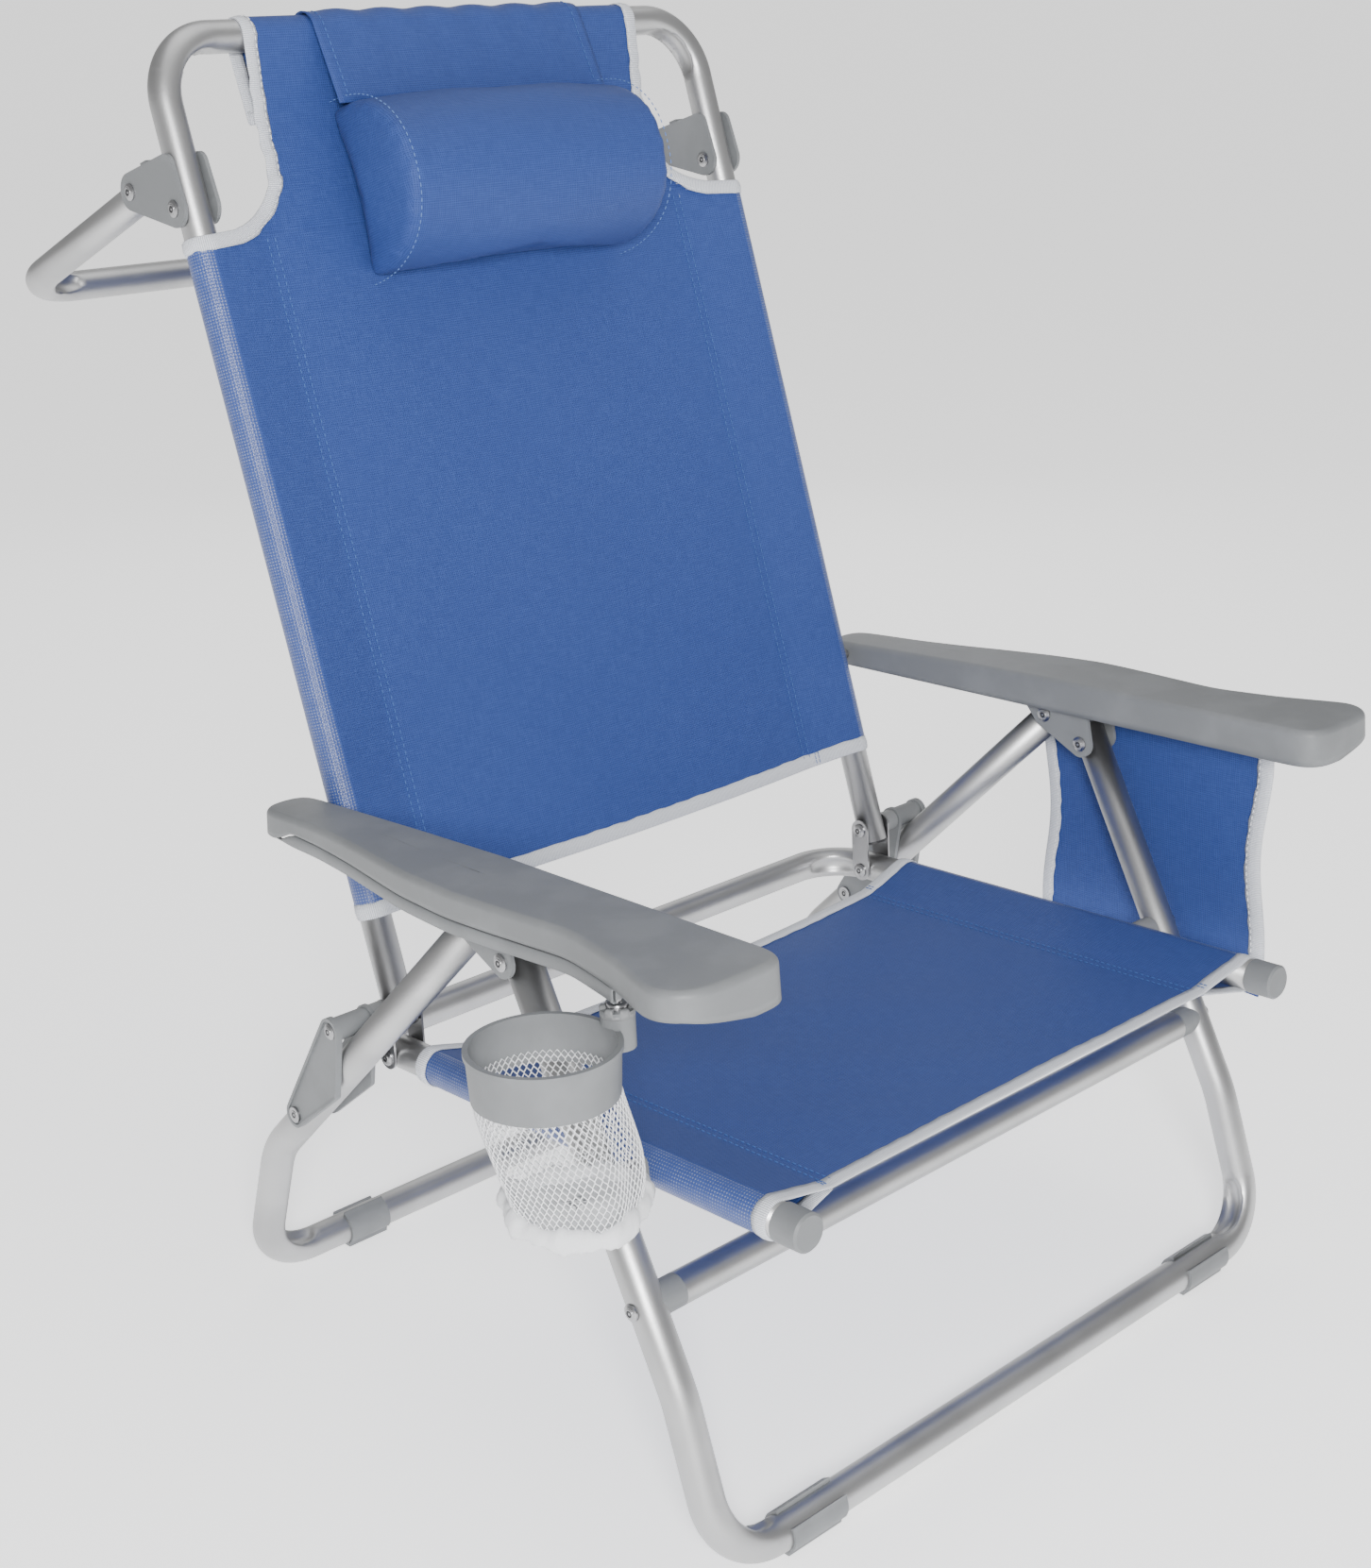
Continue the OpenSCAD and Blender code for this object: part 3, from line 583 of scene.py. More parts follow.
def overTube(made, columns, rows):  # the mesh opens where it is stretched over a tube
    made.data.materials.append(openBlue)
    first, last = flank + 3, firstTop - 3
    for r in range(rows - 1):
        for c in range(columns - 1):
            if first <= min(c, columns - 2 - c) <= last:
                made.data.polygons[r * (columns - 1) + c].material_index = 1


# two rows of stitches each side, and the ones that lock their ends
def sleeveStitches(name, grid, normals, rows, tackRows):
    made = []
    for label, sign in bothSides:
        for k in (0, 1):
            x = rail - section["seam"] - section["rowsApart"] * k
            line, up = lineAt(grid, normals, sign * x, rows)
            made.append(stitches(f"{name}Stitch{label}{k}", line, up, name))
            x = tack[name] + tack["apart"] * k
            for end, few in tackRows.items():
                line, up = lineAt(grid, normals, sign * x, few, tack["lift"])
                made.append(stitches(f"{name}Tack{end}{label}{k}", line, up, name, tack["long"], tack["gap"]))
    return made


# seat sling
seatCloth = {"front": -0.1115, "rear": 0.236, "hollow": 0.012, "sag": 0.006, "rows": 72,
             "flat": (0.686, 0.348)}
across = slingSection(chair["seatR"])
inside = bulge(across[:, 0], rail - section["hollowTo"], 0.8)
middle = bulge(across[:, 0], rail - section["seam"])
grid = np.zeros((seatCloth["rows"], len(across), 3))
for r, t in enumerate(np.linspace(0, 1, seatCloth["rows"])):
    first, last = seatCloth["front"] + seatCloth["hollow"] * inside, seatCloth["rear"] - 0.009 * inside
    grid[r, :, 0], grid[r, :, 1] = across[:, 0], first * (1 - t) + last * t
    ripple = 0.0007 * np.sin(across[:, 0] * 41 + t * 5) * np.sin(t * 9 + across[:, 0] * 6) * middle
    grid[r, :, 2] = across[:, 1] - seatCloth["sag"] * middle * (0.7 + 0.3 * sin(pi * t)) + ripple
seatGrid = place(seatSpace, grid)
seatSling = clothPiece("seatSling", seatGrid, "seat", "seat_sling", section["thick"])
overTube(seatSling, grid.shape[1], grid.shape[0])
normals = gridNormals(seatGrid, (0, 0, 1))
extras = [endBinding("seatHemFront", seatGrid, normals, 0, "seat"),
          endBinding("seatHemRear", seatGrid, normals, -1, "seat")]
extras += sleeveStitches("seat", seatGrid, normals, slice(1, -1),
                         {"Front": slice(0, 3), "Rear": slice(-1, -4, -1)})
print("seat sling made")

# back sling: wide between the tubes, then a strip that goes over the top bar and down behind
backCloth = {"low": 0.068, "tubeTop": 0.553, "cutTop": 0.600, "strip": 0.183, "sag": 0.004, "rows": 86,
             "foldLow": 0.631, "flareBehind": 0.007, "flat": (0.683, 0.78)}
across = slingSection(slim)
columns = len(across)
lastTop = columns - 1 - firstTop
middle = bulge(across[:, 0], rail - section["seam"])
inside = bulge(across[:, 0], rail - section["hollowTo"])
grid = np.zeros((backCloth["rows"], columns, 3))
for r, t in enumerate(np.linspace(0, 1, backCloth["rows"])):
    ripple = 0.0008 * np.sin(across[:, 0] * 33 + t * 4) * np.sin(t * 11 + across[:, 0] * 5) * middle
    grid[r, :, 0] = across[:, 0]
    grid[r, :, 1] = -across[:, 1] + backCloth["sag"] * middle * sin(pi * min(1, t * 1.02)) + ripple
    grid[r, :, 2] = (backCloth["low"] - 0.005 * inside) * (1 - t) + backCloth["tubeTop"] * t


def cutEdge(z):  # half width of the cloth above the sleeves
    u = np.clip((backCloth["cutTop"] - z) / (backCloth["cutTop"] - backCloth["tubeTop"]), 0, 1)
    return backCloth["strip"] + (-across[lastTop, 0] - backCloth["strip"]) * (1 - sqrt(1 - u ** 2))


def overBar(radius, low, steps=18):  # tangent from a low line, over the bar, and tangent down to it again
    tangent = acos(radius / (top - low))
    start = tangent - pi / 2
    angles = np.linspace(start, pi - start, steps)
    return [(-radius * cos(a), top + radius * sin(a)) for a in angles]


foldLow = backCloth["foldLow"]
bow = overBar(slim + section["clear"], foldLow)
profile = [(0.0, z) for z in np.linspace(backCloth["tubeTop"], foldLow, 30)[1:]]
profile += [(bow[0][0] * t, foldLow * (1 - t) + bow[0][1] * t) for t in np.linspace(0, 1, 9)[1:-1]]
behindFrom = len(profile) + len(bow)
profile += bow + [(bow[-1][0] * (1 - t) + 0.0022 * t, bow[-1][1] * (1 - t) + (foldLow + 0.001) * t)
                  for t in np.linspace(0, 1, 10)[1:]]
spread = across[firstTop:lastTop + 1, 0] / across[firstTop, 0]
upper = np.zeros((len(profile), len(spread), 3))
for r, (y, z) in enumerate(profile):
    x = spread * (cutEdge(z) if r < 29 else backCloth["strip"])
    wedge = np.clip(abs(x) - (rail - section["seam"]), 0, 1) * 0.2413
    flare = backCloth["flareBehind"] * np.clip((abs(spread) - 0.72) / 0.28, 0, 1) ** 2
    flare = flare * max(0, r - behindFrom) / 9
    atEdge = np.clip(abs(spread) - 0.93, 0, 1) / 0.07
    edgeWave = 0.0011 * sin(z * 330) * atEdge * (0.585 < z < 0.66) * (r < 36)
    upper[r] = np.stack([x, y - wedge + flare + edgeWave, np.full(len(x), z)], -1)
backGrid, upperGrid = place(backSpace, grid), place(backSpace, upper)
wide, rows = upper.shape[1], backCloth["rows"]
base = rows * columns
faces = gridFaces(rows, columns)
joinAt = base - columns + firstTop  # where the strip starts on the last row between the tubes
faces += [(joinAt + c, joinAt + c + 1, base + c + 1, base + c) for c in range(wide - 1)]
faces += [tuple(base + v for v in f) for f in gridFaces(len(profile), wide)]
upperUvs = gridUvs(upperGrid) + [0, backCloth["tubeTop"] - backCloth["low"] + 0.003]
points = np.concatenate([backGrid.reshape(-1, 3), upperGrid.reshape(-1, 3)])
backSling = piece("backSling", points, faces, "back", "blue_fabric", ["back_sling"],
                  np.concatenate([gridUvs(backGrid), upperUvs]))
thicken(backSling, section["thick"])
overTube(backSling, columns, rows)
normals, upperNormals = gridNormals(backGrid, (0, -1, 0)), gridNormals(upperGrid, (0, -1, 0), 3)
extras = [endBinding("backHemLow", backGrid, normals, 0, "back"),
          endBinding("stripHemBehind", upperGrid, upperNormals, -1, "back", 0.008)]
turnBack = np.array(backSpace)[:3, :3]
cutTape = {"before": 4, "after": 14, "sewnIn": 0.0078, "sewnUp": 0.0017, "pucker": 0.0006}
for label, ring, c, near in (("Right", slice(columns - 1, lastTop, -1), wide - 1, wide - 2),
                             ("Left", slice(0, firstTop), 0, 1)):
    edge = np.concatenate([backGrid[-1, ring], upperGrid[:, c]])
    inward = np.concatenate([(backGrid[-2] - backGrid[-1])[ring], upperGrid[:, near] - upperGrid[:, c]])
    normal = unit(np.concatenate([normals[-1, ring], upperNormals[:, c]]))
    turnAt = len(backGrid[-1, ring])
    inward = unit(inward)
    first, last = turnAt - cutTape["before"], turnAt + cutTape["after"]
    for k in range(first, last):  # the tape swings from along the tube to across the cloth
        t = (k - first) / (last - first - 1)
        inward[k] = turnBack @ [0, 0, -1] * (1 - t) + inward[last] * t
    extras.append(binding("cutHem" + label, edge, inward, normal, "back", pucker=cutTape["pucker"]))
    shown = slice(turnAt, behindFrom + turnAt)  # the stitches end where the strip goes behind the bar
    sewn = (edge + unit(inward) * cutTape["sewnIn"] + normal * cutTape["sewnUp"])[shown]
    extras.append(stitches("cutStitch" + label, sewn, normal[shown], "back", thread=looks["net"]))
extras += sleeveStitches("back", backGrid, normals, slice(1, None), {"": slice(0, 3)})
print("back sling made")

# headrest flap: from the pillow's upper edge, over the bar and down behind
flap = {"low": 0.6340, "lowY": -0.0240, "half": 0.126, "drop": 0.070, "flat": (0.252, 0.177)}
bowR = slim + 0.0027
bow = [(-bowR * cos(t), top + bowR * sin(t)) for t in np.linspace(0, pi, 21)]
front = [(flap["lowY"] + (bow[0][0] - flap["lowY"]) * t, flap["low"] * (1 - t) + top * t)
         for t in np.linspace(0, 1, 11)[:-1]]
rear = [(bow[-1][0] + 0.0008 * t, bow[-1][1] * (1 - t) + (top - flap["drop"]) * t)
        for t in np.linspace(0, 1, 14)[1:]]
profile = front + bow + rear
spread = np.linspace(1, -1, 57)
grid = np.zeros((len(profile), len(spread), 3))
for r, (y, z) in enumerate(profile):
    pillowing = 0.0009 * (1 + np.sin(spread * 19 + r * 0.2)) * sin(pi * r / len(profile))
    out = unit(np.array([y, z - top + 0.002])) if z > top - 0.01 else np.array([copysign(1, y), 0.0])
    grid[r] = np.stack([spread * flap["half"], y + out[0] * pillowing, z + out[1] * pillowing], -1)
flapGrid = place(backSpace, grid)
flapCloth = clothPiece("headrestFlap", flapGrid, "back", "headrest_flap", 0.0012)
normals = gridNormals(flapGrid, (0, -1, 0), 1)
extras = []
for label, c in (("Left", 2), ("Right", len(spread) - 3)):
    up = normals[1:-1, c]
    extras.append(stitches("flapStitch" + label, flapGrid[1:-1, c] + up * 0.0009, up, "back"))
print("flap made")

# headrest pillow: a bolster with a flat back and two round end panels, puffed by a short cloth run
pillow = {"half": 0.124, "low": 0.508, "high": 0.640, "deep": 0.084, "cap": 0.006, "voxel": 0.0048,
          "steps": 46, "frames": 20, "axisY": -0.016, "arcR": 0.068, "seamWide": 0.0032,
          "seamDeep": 0.0026, "quickPuff": 0.004, "ripple": 0.0005}
midZ = (pillow["low"] + pillow["high"]) / 2


def dSection(grow=0.0):  # the flat back then the round front, as (y, z)
    tall, deep = (pillow["high"] - pillow["low"]) / 2 + grow, pillow["deep"] + grow
    curve = []
    for a in np.linspace(0, pi, pillow["steps"]):
        height = copysign(abs(cos(a)) ** 0.9, cos(a))
        curve.append((-0.0018 - deep * abs(sin(a)) ** 0.86, midZ - tall * height))
    flatBack = [(-0.0016, midZ + tall * (1 - 2 * t)) for t in np.linspace(0, 1, 16)[1:-1]]
    return np.array(curve + flatBack)


outline = dSection(-0.004)
end, inset = pillow["half"], 0.003
stations = [-end, *np.linspace(-end + inset, end - inset, 49), end]
rings = [[(x, y, z) for y, z in outline] for x in stations]
count = len(outline)
lastRing = (len(stations) - 1) * count
faces = gridFaces(len(stations), count, closed=True)
faces += [tuple(range(count)), tuple(range(lastRing, lastRing + count))[::-1]]
bolster = piece("headrestPillow", rings, faces, "back", "blue_fabric", ["headrest_pillow"])
addModifier(bolster, "REMESH", mode="VOXEL", voxel_size=pillow["voxel"])
freeze(bolster)
before = np.array([v.co for v in bolster.data.vertices])
puff = addModifier(bolster, "CLOTH")
puff.settings.use_pressure = True
puff.settings.uniform_pressure_force = 4
puff.settings.effector_weights.gravity = 0
puff.point_cache.frame_end = pillow["frames"]
scene = bpy.context.scene
for f in range(1, pillow["frames"] + 1):
    scene.frame_set(f)
freeze(bolster)
scene.frame_set(1)
after = np.array([v.co for v in bolster.data.vertices])
if len(after) != len(before):
    after = before
far = np.linalg.norm(after - before, axis=1, keepdims=True)
after = before + (after - before) * np.minimum(1, pillow["cap"] / np.maximum(far, 1e-9))
# the back lies flat on the strip
after[:, 1] = np.minimum(after[:, 1], -0.0022 + 0.0008 * (abs(after[:, 0]) < 0.1))
rim = np.abs(np.abs(after[:, 0]) - pillow["half"] + 0.001)
onFront = np.clip((-after[:, 1] - 0.003) / 0.004, 0, 1)
ruck = 1 + 0.35 * np.sin(np.arctan2(after[:, 2] - midZ, after[:, 1] + 0.01) * 34)
# where the end panel is sewn to the main one
pinch = np.exp(-(rim / pillow["seamWide"]) ** 2) * onFront * pillow["seamDeep"] * ruck
centreLine = after * [1, 0, 0] + [0, pillow["axisY"], midZ]
after += unit(centreLine - after) * pinch[:, None]
ripples = pillow["ripple"] * np.sin(after[:, 0] * 46 + after[:, 2] * 31) * np.sin(after[:, 2] * 83 + 1.7)
after[:, 1] += ripples * onFront
for v, co in zip(bolster.data.vertices, place(backSpace, after)):
    v.co = co
bolster.data.polygons.foreach_set("use_smooth", [True] * len(bolster.data.polygons))
layer = bolster.data.uv_layers.new(name="UVMap")
arc = np.arctan2(after[:, 2] - midZ, pillow["axisY"] - after[:, 1]) * pillow["arcR"]
for poly in bolster.data.polygons:
    own = after[list(poly.vertices)]
    sideways = abs((turnBack.T @ np.array(poly.normal))[0])
    onEnd = abs(own[:, 0]).min() > pillow["half"] - 0.006 and sideways > 0.6
    onBack = own[:, 1].max() > -0.004
    for li in poly.loop_indices:
        v = bolster.data.loops[li].vertex_index
        x, y, z = after[v]
        layer.data[li].uv = (y, z) if onEnd else (x, z) if onBack else (x, arc[v])
bolster.data.materials.clear()
bolster.data.materials.append(looks["blue_fabric"])
addModifier(bolster, "SUBSURF", levels=1, render_levels=1)
for label, sign in bothSides:
    curve = dSection(0.0005)[:pillow["steps"]]
    seam = np.column_stack([np.full(len(curve), sign * (pillow["half"] - 0.0045)), curve])
    out = np.column_stack([np.zeros(len(curve)), unit(curve - [pillow["axisY"], midZ])])
    stitches("pillowStitch" + label, place(backSpace, seam), out @ turnBack.T, "back", 0.003, 0.0022,
             paleThread)
print("pillow made")

# armrests: smooth shells over the two moulded housings
arm = {"inner": -0.0255, "front": -0.218, "rear": 0.270, "base": 0.0254, "edgeR": 0.0050, "wall": 0.0025,
       "raise": 0.009, "crown": 0.0008, "paddleR": 0.030, "frontInR": 0.014, "rearR": 0.012,
       "trimFrom": -0.143, "trimTo": 0.256, "trimGap": 0.0014, "trimDrop": 0.0016,
       "edge": [(0.270, 0.0165), (0.192, 0.0199), (0.148, 0.0258), (0.070, 0.0400), (0.016, 0.0444),
                (-0.028, 0.0420), (-0.091, 0.0366), (-0.140, 0.0469), (-0.179, 0.0606), (-0.190, 0.0655)],
       "top": [(-0.218, 0.0524), (0.03, 0.0514), (0.12, 0.0489), (0.270, 0.0434)]}


def smoothClosed(points, spacing, passes):
    loop = np.vstack([points, points[:1]])
    along = lengths(loop)
    at = np.linspace(0, along[-1], int(along[-1] / spacing), endpoint=False)
    points = np.stack([np.interp(at, along, loop[:, k]) for k in (0, 1)], -1)
    for _ in range(passes):
        points = points * 0.5 + (np.roll(points, 1, 0) + np.roll(points, -1, 0)) * 0.25
    return points


def corner(cx, cy, radius, a0, a1):
    return [(cx + radius * cos(radians(a)), cy + radius * sin(radians(a)))
            for a in np.linspace(a0, a1, 10)]


def armOutline():
    inner, front, rear, outer = arm["inner"], arm["front"], arm["rear"], arm["edge"][-1][1]
    inR, paddleR, rearR = arm["frontInR"], arm["paddleR"], arm["rearR"]
    points = corner(inner + inR, front + inR, inR, 180, 270)
    points += corner(outer - paddleR, front + paddleR, paddleR, 270, 342)
    points += [(u, v) for v, u in arm["edge"][:0:-1]]
    points += corner(arm["edge"][0][1] - rearR, rear - rearR, rearR, 0, 90)
    points += corner(inner + rearR, rear - rearR, rearR, 90, 180)
    return smoothClosed(np.array(points), 0.0035, 14)


def armTop(v):
    return np.interp(v, *np.transpose(arm["top"]))


def armSkirt(u, v):  # how far the lower rim is raised to show the housing
    outboard = np.clip((u - 0.008) / (0.006 + 0.040 * np.clip((-0.175 - v) / 0.03, 0, 1)), 0, 1)
    along = np.clip((0.250 - v) / 0.03, 0, 1)
    return arm["raise"] * outboard * along * along * (3 - 2 * along)


outline = armOutline()
tangent = unit(np.roll(outline, -1, 0) - np.roll(outline, 1, 0))
inwardUV = np.stack([-tangent[:, 1], tangent[:, 0]], -1)
if (inwardUV * (outline.mean(0) - outline)).sum() < 0:
    inwardUV = -inwardUV
spineV = np.clip(outline[:, 1], arm["front"] + 0.045, arm["rear"] - 0.024)
spineU = (arm["inner"] + np.interp(spineV, *np.transpose(arm["edge"][::-1]))) / 2
spine = np.stack([spineU, spineV], -1)
skirtProfile = [(0.0, 0.0), (0.0002, 0.25), (0.0005, 0.6), (0.0008, 1.0)]
turns = [radians(a) for a in range(10, 91, 10)]
zTop = armTop(outline[:, 1])
zBase = arm["base"] + armSkirt(outline[:, 0], outline[:, 1])
rings = [np.column_stack([outline + inwardUV * inset, zBase + (zTop - arm["edgeR"] - zBase) * share])
         for inset, share in skirtProfile]
rings += [np.column_stack([outline + inwardUV * (skirtProfile[-1][0] + arm["edgeR"] * (1 - cos(a))),
                           zTop - arm["edgeR"] * (1 - sin(a))]) for a in turns]
rim = rings[-1][:, :2]
for t in (0.08, 0.2, 0.35, 0.5, 0.65, 0.8, 0.92, 0.985):
    uv = rim * (1 - t) + spine * t
    rings.append(np.column_stack([uv, armTop(uv[:, 1]) + arm["crown"] * (1 - (1 - t) ** 2)]))
count = len(outline)
shellFaces = gridFaces(len(rings), count, closed=True)
shellFaces.append(tuple(range((len(rings) - 1) * count, len(rings) * count)))
# the strip of the housing that shows under the raised rim, with a dark line between them
keep = [k for k in range(count) if outline[k, 0] > 0.008 and arm["trimFrom"] < outline[k, 1] < arm["trimTo"]]
edge, into = outline[keep], inwardUV[keep]
raised = armSkirt(edge[:, 0], edge[:, 1])
high = arm["base"] + raised - arm["trimGap"]
low = arm["base"] - arm["trimDrop"] * np.clip(raised / arm["raise"], 0, 1)
strip = np.stack([np.column_stack([edge + into * inset, height]) for inset, height in (
    (0.0031, low + 0.0005), (0.0012, low), (0.0004, low + 0.0006),
    (0.0004, np.maximum(high - 0.0005, low + 0.0007)), (0.0012, np.maximum(high, low + 0.0012)),
    (0.0031, np.maximum(high - 0.0003, low + 0.0009)))])
for label, side in bothSides:
    space, body = armSpace(side), "arm_" + label.lower()
    made = piece("armrest" + label, place(space, rings), shellFaces, body, "grey_plastic",
                 ["armrest_" + label.lower()], flip=side < 0)
    addModifier(made, "WELD", merge_threshold=0.00005)
    thicken(made, arm["wall"], -1)
    made = piece("armTrim" + label, place(space, strip), gridFaces(*strip.shape[:2]), body, "grey_plastic",
                 flip=side < 0)
    thicken(made, 0.0008, -1)
print("armrests made")

# cup holder: net bag with a rolled hem, and the pivot boss with its castle collar and cross-head screw
cup = {"centre": (0.079, -0.116), "ringLow": -0.0295, "ringR": 0.0424, "baseR": 0.0405, "netTop": 0.008,
       "drop": 0.069, "cells": 62, "swing": (-0.0095, -0.0095), "strand": 0.00105, "folds": 0.0022,
       "boss": (0.031, -0.127), "floorLift": 0.0045, "hemLift": 0.0035,
       "hemR": 0.0050, "hemTall": 1.45, "flat": (0.266, 0.079)}
cupSpace = armSpace(-1)


def bagPoint(angle, depth):  # depth is 0 at the top of the net and 1 at its hem
    swell = 0.0024 * sin(pi * min(1, depth * 1.05)) ** 0.8
    radius = cup["ringR"] * (1 - depth) + cup["baseR"] * depth + swell
    fold = sin(5 * angle + 0.9 + 1.5 * depth) * 0.6 + sin(8 * angle + 2.2 - 2.4 * depth) * 0.4
    radius += cup["folds"] * fold * min(1, depth * 1.6) * (1 if depth > 0.12 else depth / 0.12)
    ease = depth * depth * (3 - 2 * depth)
    height = cup["ringLow"] + cup["netTop"] - depth * (cup["drop"] + cup["netTop"])
    height += 0.003 * sin(2 * angle + 0.6) * depth ** 3
    return (cup["centre"][0] + cup["swing"][0] * ease + radius * cos(angle),
            cup["centre"][1] + cup["swing"][1] * ease + radius * sin(angle), height)


cells = cup["cells"]
cellWide = 2 * pi / cells
rowsDown = int((cup["drop"] + cup["netTop"]) / (cup["ringR"] * cellWide * 0.80))
points, faces, seen = [], [], {}


def netPoint(column, step):  # shared corner of the honeycomb
    key = (column % (2 * cells), step)
    if key not in seen:
        seen[key] = len(points)
        level = (step * 0.5 + (0.166 if step % 2 else -0.166) * 0.6) / rowsDown
        points.append(bagPoint(key[0] * cellWide / 2, min(1, max(0, level))))
    return seen[key]


for row in range(rowsDown):
    for c in range(cells):
        x, y = 2 * c + row % 2, 2 * row
        hexagon = ((0, 0), (-1, 1), (-1, 2), (0, 3), (1, 2), (1, 1))
        faces.append([netPoint(x + a, y + b) for a, b in hexagon][::-1])
bag = piece("cupNetBag", place(cupSpace, points), faces, "cup_holder", "net", ["cup_net"])
addModifier(bag, "WIREFRAME", thickness=cup["strand"], use_even_offset=False, use_replace=True)
freeze(bag)
turnsRound, sides = 110, 14
rows = []
for a in around(turnsRound):
    centre = np.array(bagPoint(a, 1.0)) - [0, 0, cup["hemLift"]]
    outward = np.array([cos(a), sin(a), 0])
    fat = cup["hemR"] + 0.0009 * sin(7 * a + 0.5) + 0.0005 * sin(17 * a)
    row = []
    for w in around(sides):
        ruck = fat * (1 + 0.09 * sin(31 * a + 2 * w) + 0.06 * sin(53 * a - w))
        row.append(centre + (outward * cos(w) + np.array([0, 0, cup["hemTall"]]) * sin(w)) * ruck)
    rows.append(row)
uvs = np.stack(np.meshgrid(np.linspace(0, 0.26, turnsRound), np.linspace(0, 0.02, sides), indexing="ij"), -1)
hem = piece("cupNetHem", place(cupSpace, rows), gridFaces(turnsRound, sides, closed=True, hoop=True),
            "cup_holder", "net", uvs=uvs, material=softTape)
lift = cup["floorLift"]
points = [(*(np.array(cup["centre"]) + cup["swing"]), bagPoint(0.3, 1)[2] - lift)]
rounds = 9
for i in range(1, rounds + 1):
    t = i / rounds
    for a in around(turnsRound):
        x, y, z = np.array(points[0]) * (1 - t) + (np.array(bagPoint(a, 1.0)) - [0, 0, lift]) * t
        points.append((x, y, z + 0.0012 * sin(3 * a + 5 * t) * sin(pi * t)))
faces = [(0, 1 + k, 1 + (k + 1) % turnsRound) for k in range(turnsRound)]
faces += [tuple(1 + v for v in f) for f in gridFaces(rounds, turnsRound, closed=True)]
points = np.array(points)
floorCloth = piece("cupNetFloor", place(cupSpace, points), faces, "cup_holder", "net", uvs=points[:, :2],
                   material=softTape)
thicken(floorCloth, 0.0009)
print("net bag made")


screw = {"collarOut": 0.0106, "collarIn": 0.0066, "high": 0.0062, "shoulder": 0.0052, "seat": 0.0078,
         "notches": 6, "notchShare": 0.42, "notchDeep": 0.0032, "notchFrom": 0.0035,
         "headZ": 0.0152, "headR": 0.0064, "headDeep": 0.0030, "crossHalf": 0.0010, "crossR": 0.0040,
         "crossDeep": 0.0012, "dome": 0.0013}
bossX, bossY = cup["boss"]
wide, narrow, shoulder, high = (screw[k] for k in ("collarOut", "collarIn", "shoulder", "high"))
rows = []
for r, z in ((narrow, 0), (wide, 0), (wide, shoulder), (wide - 0.0008, high), (narrow + 0.0006, high),
             (narrow, shoulder), (narrow, 0)):
    row = []
    for a in around(72):
        cutOut = z > screw["notchFrom"] and a * screw["notches"] / (2 * pi) % 1 < screw["notchShare"]
        height = screw["seat"] + z - screw["notchDeep"] * cutOut
        row.append((bossX + r * cos(a), bossY + r * sin(a), height))
    rows.append(row)
collar = piece("cupCollar", place(cupSpace, rows), gridFaces(len(rows), len(row), closed=True), "cup_holder",
               "pale_plastic", flip=True)
addModifier(collar, "WELD", merge_threshold=0.00002)
rows = []
t = np.array(around(96))
for r in np.concatenate([np.linspace(0, 0.0042, 15), np.linspace(0.0046, screw["headR"], 8)]):
    x, y = r * np.cos(t), r * np.sin(t)
    dome = screw["dome"] * sqrt(max(0, 1 - (r / (screw["headR"] * 1.001)) ** 2))
    cross = np.clip((screw["crossHalf"] - np.minimum(abs(x), abs(y))) / 0.0003, 0, 1)
    cross *= np.clip((screw["crossR"] - r) / 0.0004, 0, 1)
    rows.append(np.stack([x + bossX, y + bossY, screw["headZ"] + dome - screw["crossDeep"] * cross], -1))
rows.append(rows[-1] - [0, 0, screw["headDeep"]])
piece("cupScrewHead", place(cupSpace, rows), gridFaces(len(rows), len(t), closed=True), "cup_holder", "rivet",
      flip=True)
print("cup holder made")

# side pouch: one cloth folded at the bottom, bound with tape along both upright edges
pouch = {"u": 0.0200, "front": -0.150, "wide": 0.212, "deep": 0.212, "gap": 0.0105, "outer": 0.78,
         "least": 0.0012, "foldR": 0.004, "tapeOut": 0.0006, "sewnIn": 0.0085,
         "sewnUnder": 0.0031, "flat": (0.212, 0.385)}
pouchSpace = armSpace(1)
zHigh = arm["base"] - 0.0006
zLow = zHigh - pouch["deep"]
vs = np.linspace(pouch["front"], pouch["front"] + pouch["wide"], 54)
foldZ = zLow + pouch["foldR"]
path = [(0, z) for z in np.linspace(zHigh, foldZ, 44)]
path += [(0.5 - 0.5 * cos(a), foldZ - pouch["foldR"] * sin(a))
         for a in np.linspace(0.3, pi - 0.3, 8)]
path += [(1, z) for z in np.linspace(foldZ, zLow + pouch["deep"] * pouch["outer"], 36)]
share = (vs - vs[0]) / pouch["wide"]
offMiddle = abs(2 * share - 1)
grid = np.zeros((len(path), len(vs), 3))
for r, (far, z) in enumerate(path):  # far is 0 on the inner cloth and 1 on the outer
    belly = np.clip(1 - offMiddle ** 5, 0, 1)
    drop = (zHigh - z) / pouch["deep"]
    wavy = 0.0024 * np.sin(drop * 9.5 + 0.4) * offMiddle ** 3 * np.sign(share - 0.5)
    crease = 0.0016 * exp(-((drop - 0.14) / 0.02) ** 2) * np.sin(share * 5 + 0.5)
    opening = belly * (0.55 + 0.45 * sin(pi * min(1, drop)))
    apart = pouch["least"] + (pouch["gap"] - pouch["least"]) * opening
    u = pouch["u"] + 0.0008 + 0.0006 * np.sin(share * 14 + drop * 6) * drop
    u = u + far * apart + crease * (far < 0.5) * 0.4
    narrowing = 0.004 * sin(pi * drop) ** 2 * (1 - 2 * share)
    grid[r] = np.stack([u, vs + wavy + narrowing, np.full(len(vs), z)], -1)
pouchGrid = place(pouchSpace, grid)
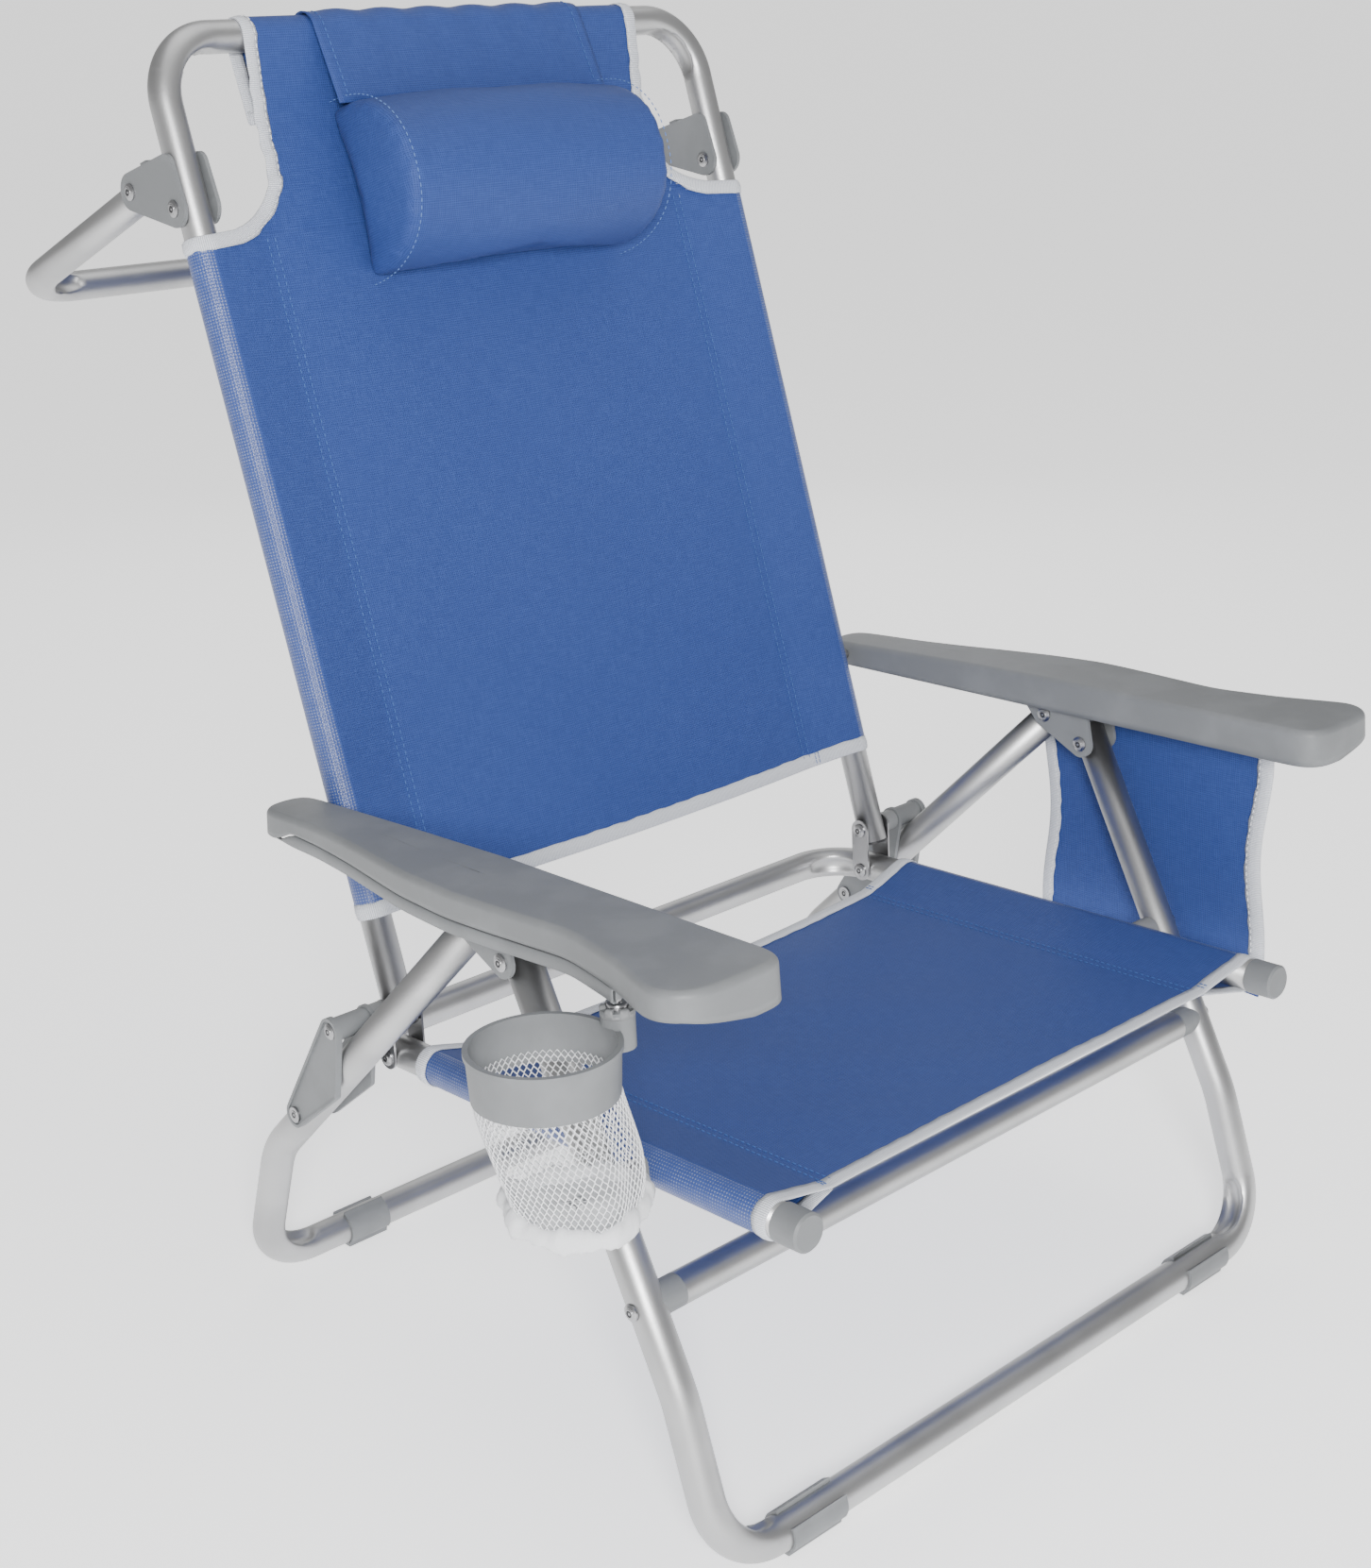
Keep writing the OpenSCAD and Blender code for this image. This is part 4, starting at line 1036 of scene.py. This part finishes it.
pouchCloth = clothPiece("sidePouch", pouchGrid, "arm_left", "side_pouch", 0.0010)
innerCloth = pouchGrid[[r for r, (far, z) in enumerate(path) if far == 0]]
outward = np.tile(np.array(pouchSpace)[:3, 0], (len(innerCloth), 1))
extras = []
for label, c, near in (("Front", 0, 1), ("Rear", -1, -2)):
    edge = innerCloth[:, c] + outward * pouch["tapeOut"]
    inward = innerCloth[:, near] - innerCloth[:, c]
    extras.append(binding("pouchHem" + label, edge, inward, outward, "arm_left", 0.0105, 0.0019, 0.0005))
    sewn = edge + unit(inward) * pouch["sewnIn"] - outward * pouch["sewnUnder"]
    extras.append(stitches("pouchStitch" + label, sewn, -outward, "arm_left", thread=looks["net"]))
extras.append(endBinding("pouchHemMouth", pouchGrid, gridNormals(pouchGrid), -1, "arm_left", 0.009))
print("pouch made")

# tubular rivets: a rolled lip round a hole on every rivet head, with the inside of the hole painted black as
# its shade
eyelet = {"lip": 0.0036, "hole": 0.0024, "high": 0.00045, "floor": 0.0001, "dot": 0.0010, "sides": 24}


def islands(mesh):  # the separate solids of a node, as arrays of points
    root = list(range(len(mesh.vertices)))

    def find(i):
        while root[i] != i:
            root[i] = root[root[i]]
            i = root[i]
        return i

    met = {}
    for i, v in enumerate(mesh.vertices):  # faces don't share their corners, so equal places are joined first
        root[find(i)] = find(met.setdefault(tuple(round(c * 1e5) for c in v.co), i))
    for e in mesh.edges:
        root[find(e.vertices[0])] = find(e.vertices[1])
    groups = {}
    for i, v in enumerate(mesh.vertices):
        groups.setdefault(find(i), []).append(v.co[:])
    return [np.array(g) for g in groups.values()]


def eyelets(node):
    shown = frame["nodes"][node]
    body = body_of(shown)[0]
    points, faces, dark = [], [], []
    lip, hole, dot, floor, sides = (eyelet[k] for k in ("lip", "hole", "dot", "floor", "sides"))
    rise = eyelet["high"] - floor
    shape = [(lip, -0.0003), (lip, floor), ((lip + hole) / 2, eyelet["high"]), (hole, floor + rise * 0.5),
             (hole * 0.88, floor), (dot, floor), (dot * 0.7, floor + rise * 0.6), (0.0, floor + rise * 0.8)]
    for solid in islands(shown.data):
        low, high = solid.min(0), solid.max(0)
        if high[0] - low[0] < 0.0035 or len(solid) < 12:  # a thin or plain solid has no eyelet
            continue
        midY, midZ = (low[1] + high[1]) / 2, (low[2] + high[2]) / 2
        for x, way in ((low[0], -1), (high[0], 1)):
            base = len(points)
            for r, h in shape:
                points += [(x + way * h, midY + r * cos(a), midZ + r * sin(a))
                           for a in around(sides)]
            ring = [tuple(base + v for v in f) for f in gridFaces(len(shape), sides, closed=True)]
            faces += [f if way < 0 else f[::-1] for f in ring]
            # the hole's wall and floor take the black material: painted shade in a shallow hollow
            dark += [3 * sides <= i < 5 * sides for i in range(len(ring))]
    if points:
        made = piece(node + "Eyelets", points, faces, body, "rivet")
        made.data.materials.append(looks["dark_plastic"])
        if len(made.data.polygons) == len(dark):
            made.data.polygons.foreach_set("material_index", [int(d) for d in dark])


for node in [n for n in frame["nodes"] if "rivets" in n]:
    eyelets(node)
print("rivets made")

# camera, plain pale floor and soft studio light
view = {"place": (-1.09000, -1.26115, 0.97101), "turn": -43.65, "rise": 20.16, "roll": -0.995, "lens": 52.65,
        "shift": (-0.0187, 0.014)}
turn, rise, roll = (radians(view[k]) for k in ("turn", "rise", "roll"))
back = Vector((sin(turn) * cos(rise), -cos(turn) * cos(rise), sin(rise)))
right = Vector((cos(turn), sin(turn), 0))
up = back.cross(right)
right, up = right * cos(roll) + up * sin(roll), up * cos(roll) - right * sin(roll)
camera = bpy.data.objects.new("camera", bpy.data.cameras.new("camera"))
camera.data.lens = view["lens"]
camera.data.shift_x, camera.data.shift_y = view["shift"]
camera.matrix_world = Matrix.Translation(view["place"]) @ Matrix((right, up, back)).transposed().to_4x4()
show(camera)
bpy.context.scene.camera = camera

floorHalf, floorDrop = 400, 0.0002
floorMesh = bpy.data.meshes.new("floor")
corners = [(x * floorHalf, y * floorHalf, 0) for x, y in ((-1, -1), (1, -1), (1, 1), (-1, 1))]
floorMesh.from_pydata(corners, [], [(0, 1, 2, 3)])
floor = bpy.data.objects.new("floor", floorMesh)
floor.location.z = cadBox[0][2] - floorDrop
pale = Finish("paleFloor", Base_Color=(0.97, 0.97, 0.97, 1), Roughness=0.9, Emission_Color=(1, 1, 1, 1),
              Emission_Strength=1.0)
floorMesh.materials.append(pale.material)
show(floor)

world = bpy.data.worlds.new("studio")
world.use_nodes = True
sky = world.node_tree.nodes["Background"].inputs
sky["Color"].default_value, sky["Strength"].default_value = (1, 1, 1, 1), 0.42
bpy.context.scene.world = world


def softLight(name, place, target, power, size):
    lamp = bpy.data.objects.new(name, bpy.data.lights.new(name, "AREA"))
    lamp.data.energy, lamp.data.size = power, size
    lamp.location = place
    lamp.rotation_euler = (Vector(target) - Vector(place)).to_track_quat("-Z", "Y").to_euler()
    show(lamp)


softLight("front", (-1.55, -1.95, 1.30), (0, 0, 0.35), 84, 0.55)
softLight("above", (0.4, -0.2, 3.2), (0, 0, 0.4), 34, 2.6)
softLight("behind", (1.6, 1.8, 1.4), (0, 0, 0.5), 9, 1.6)
print("stage made")
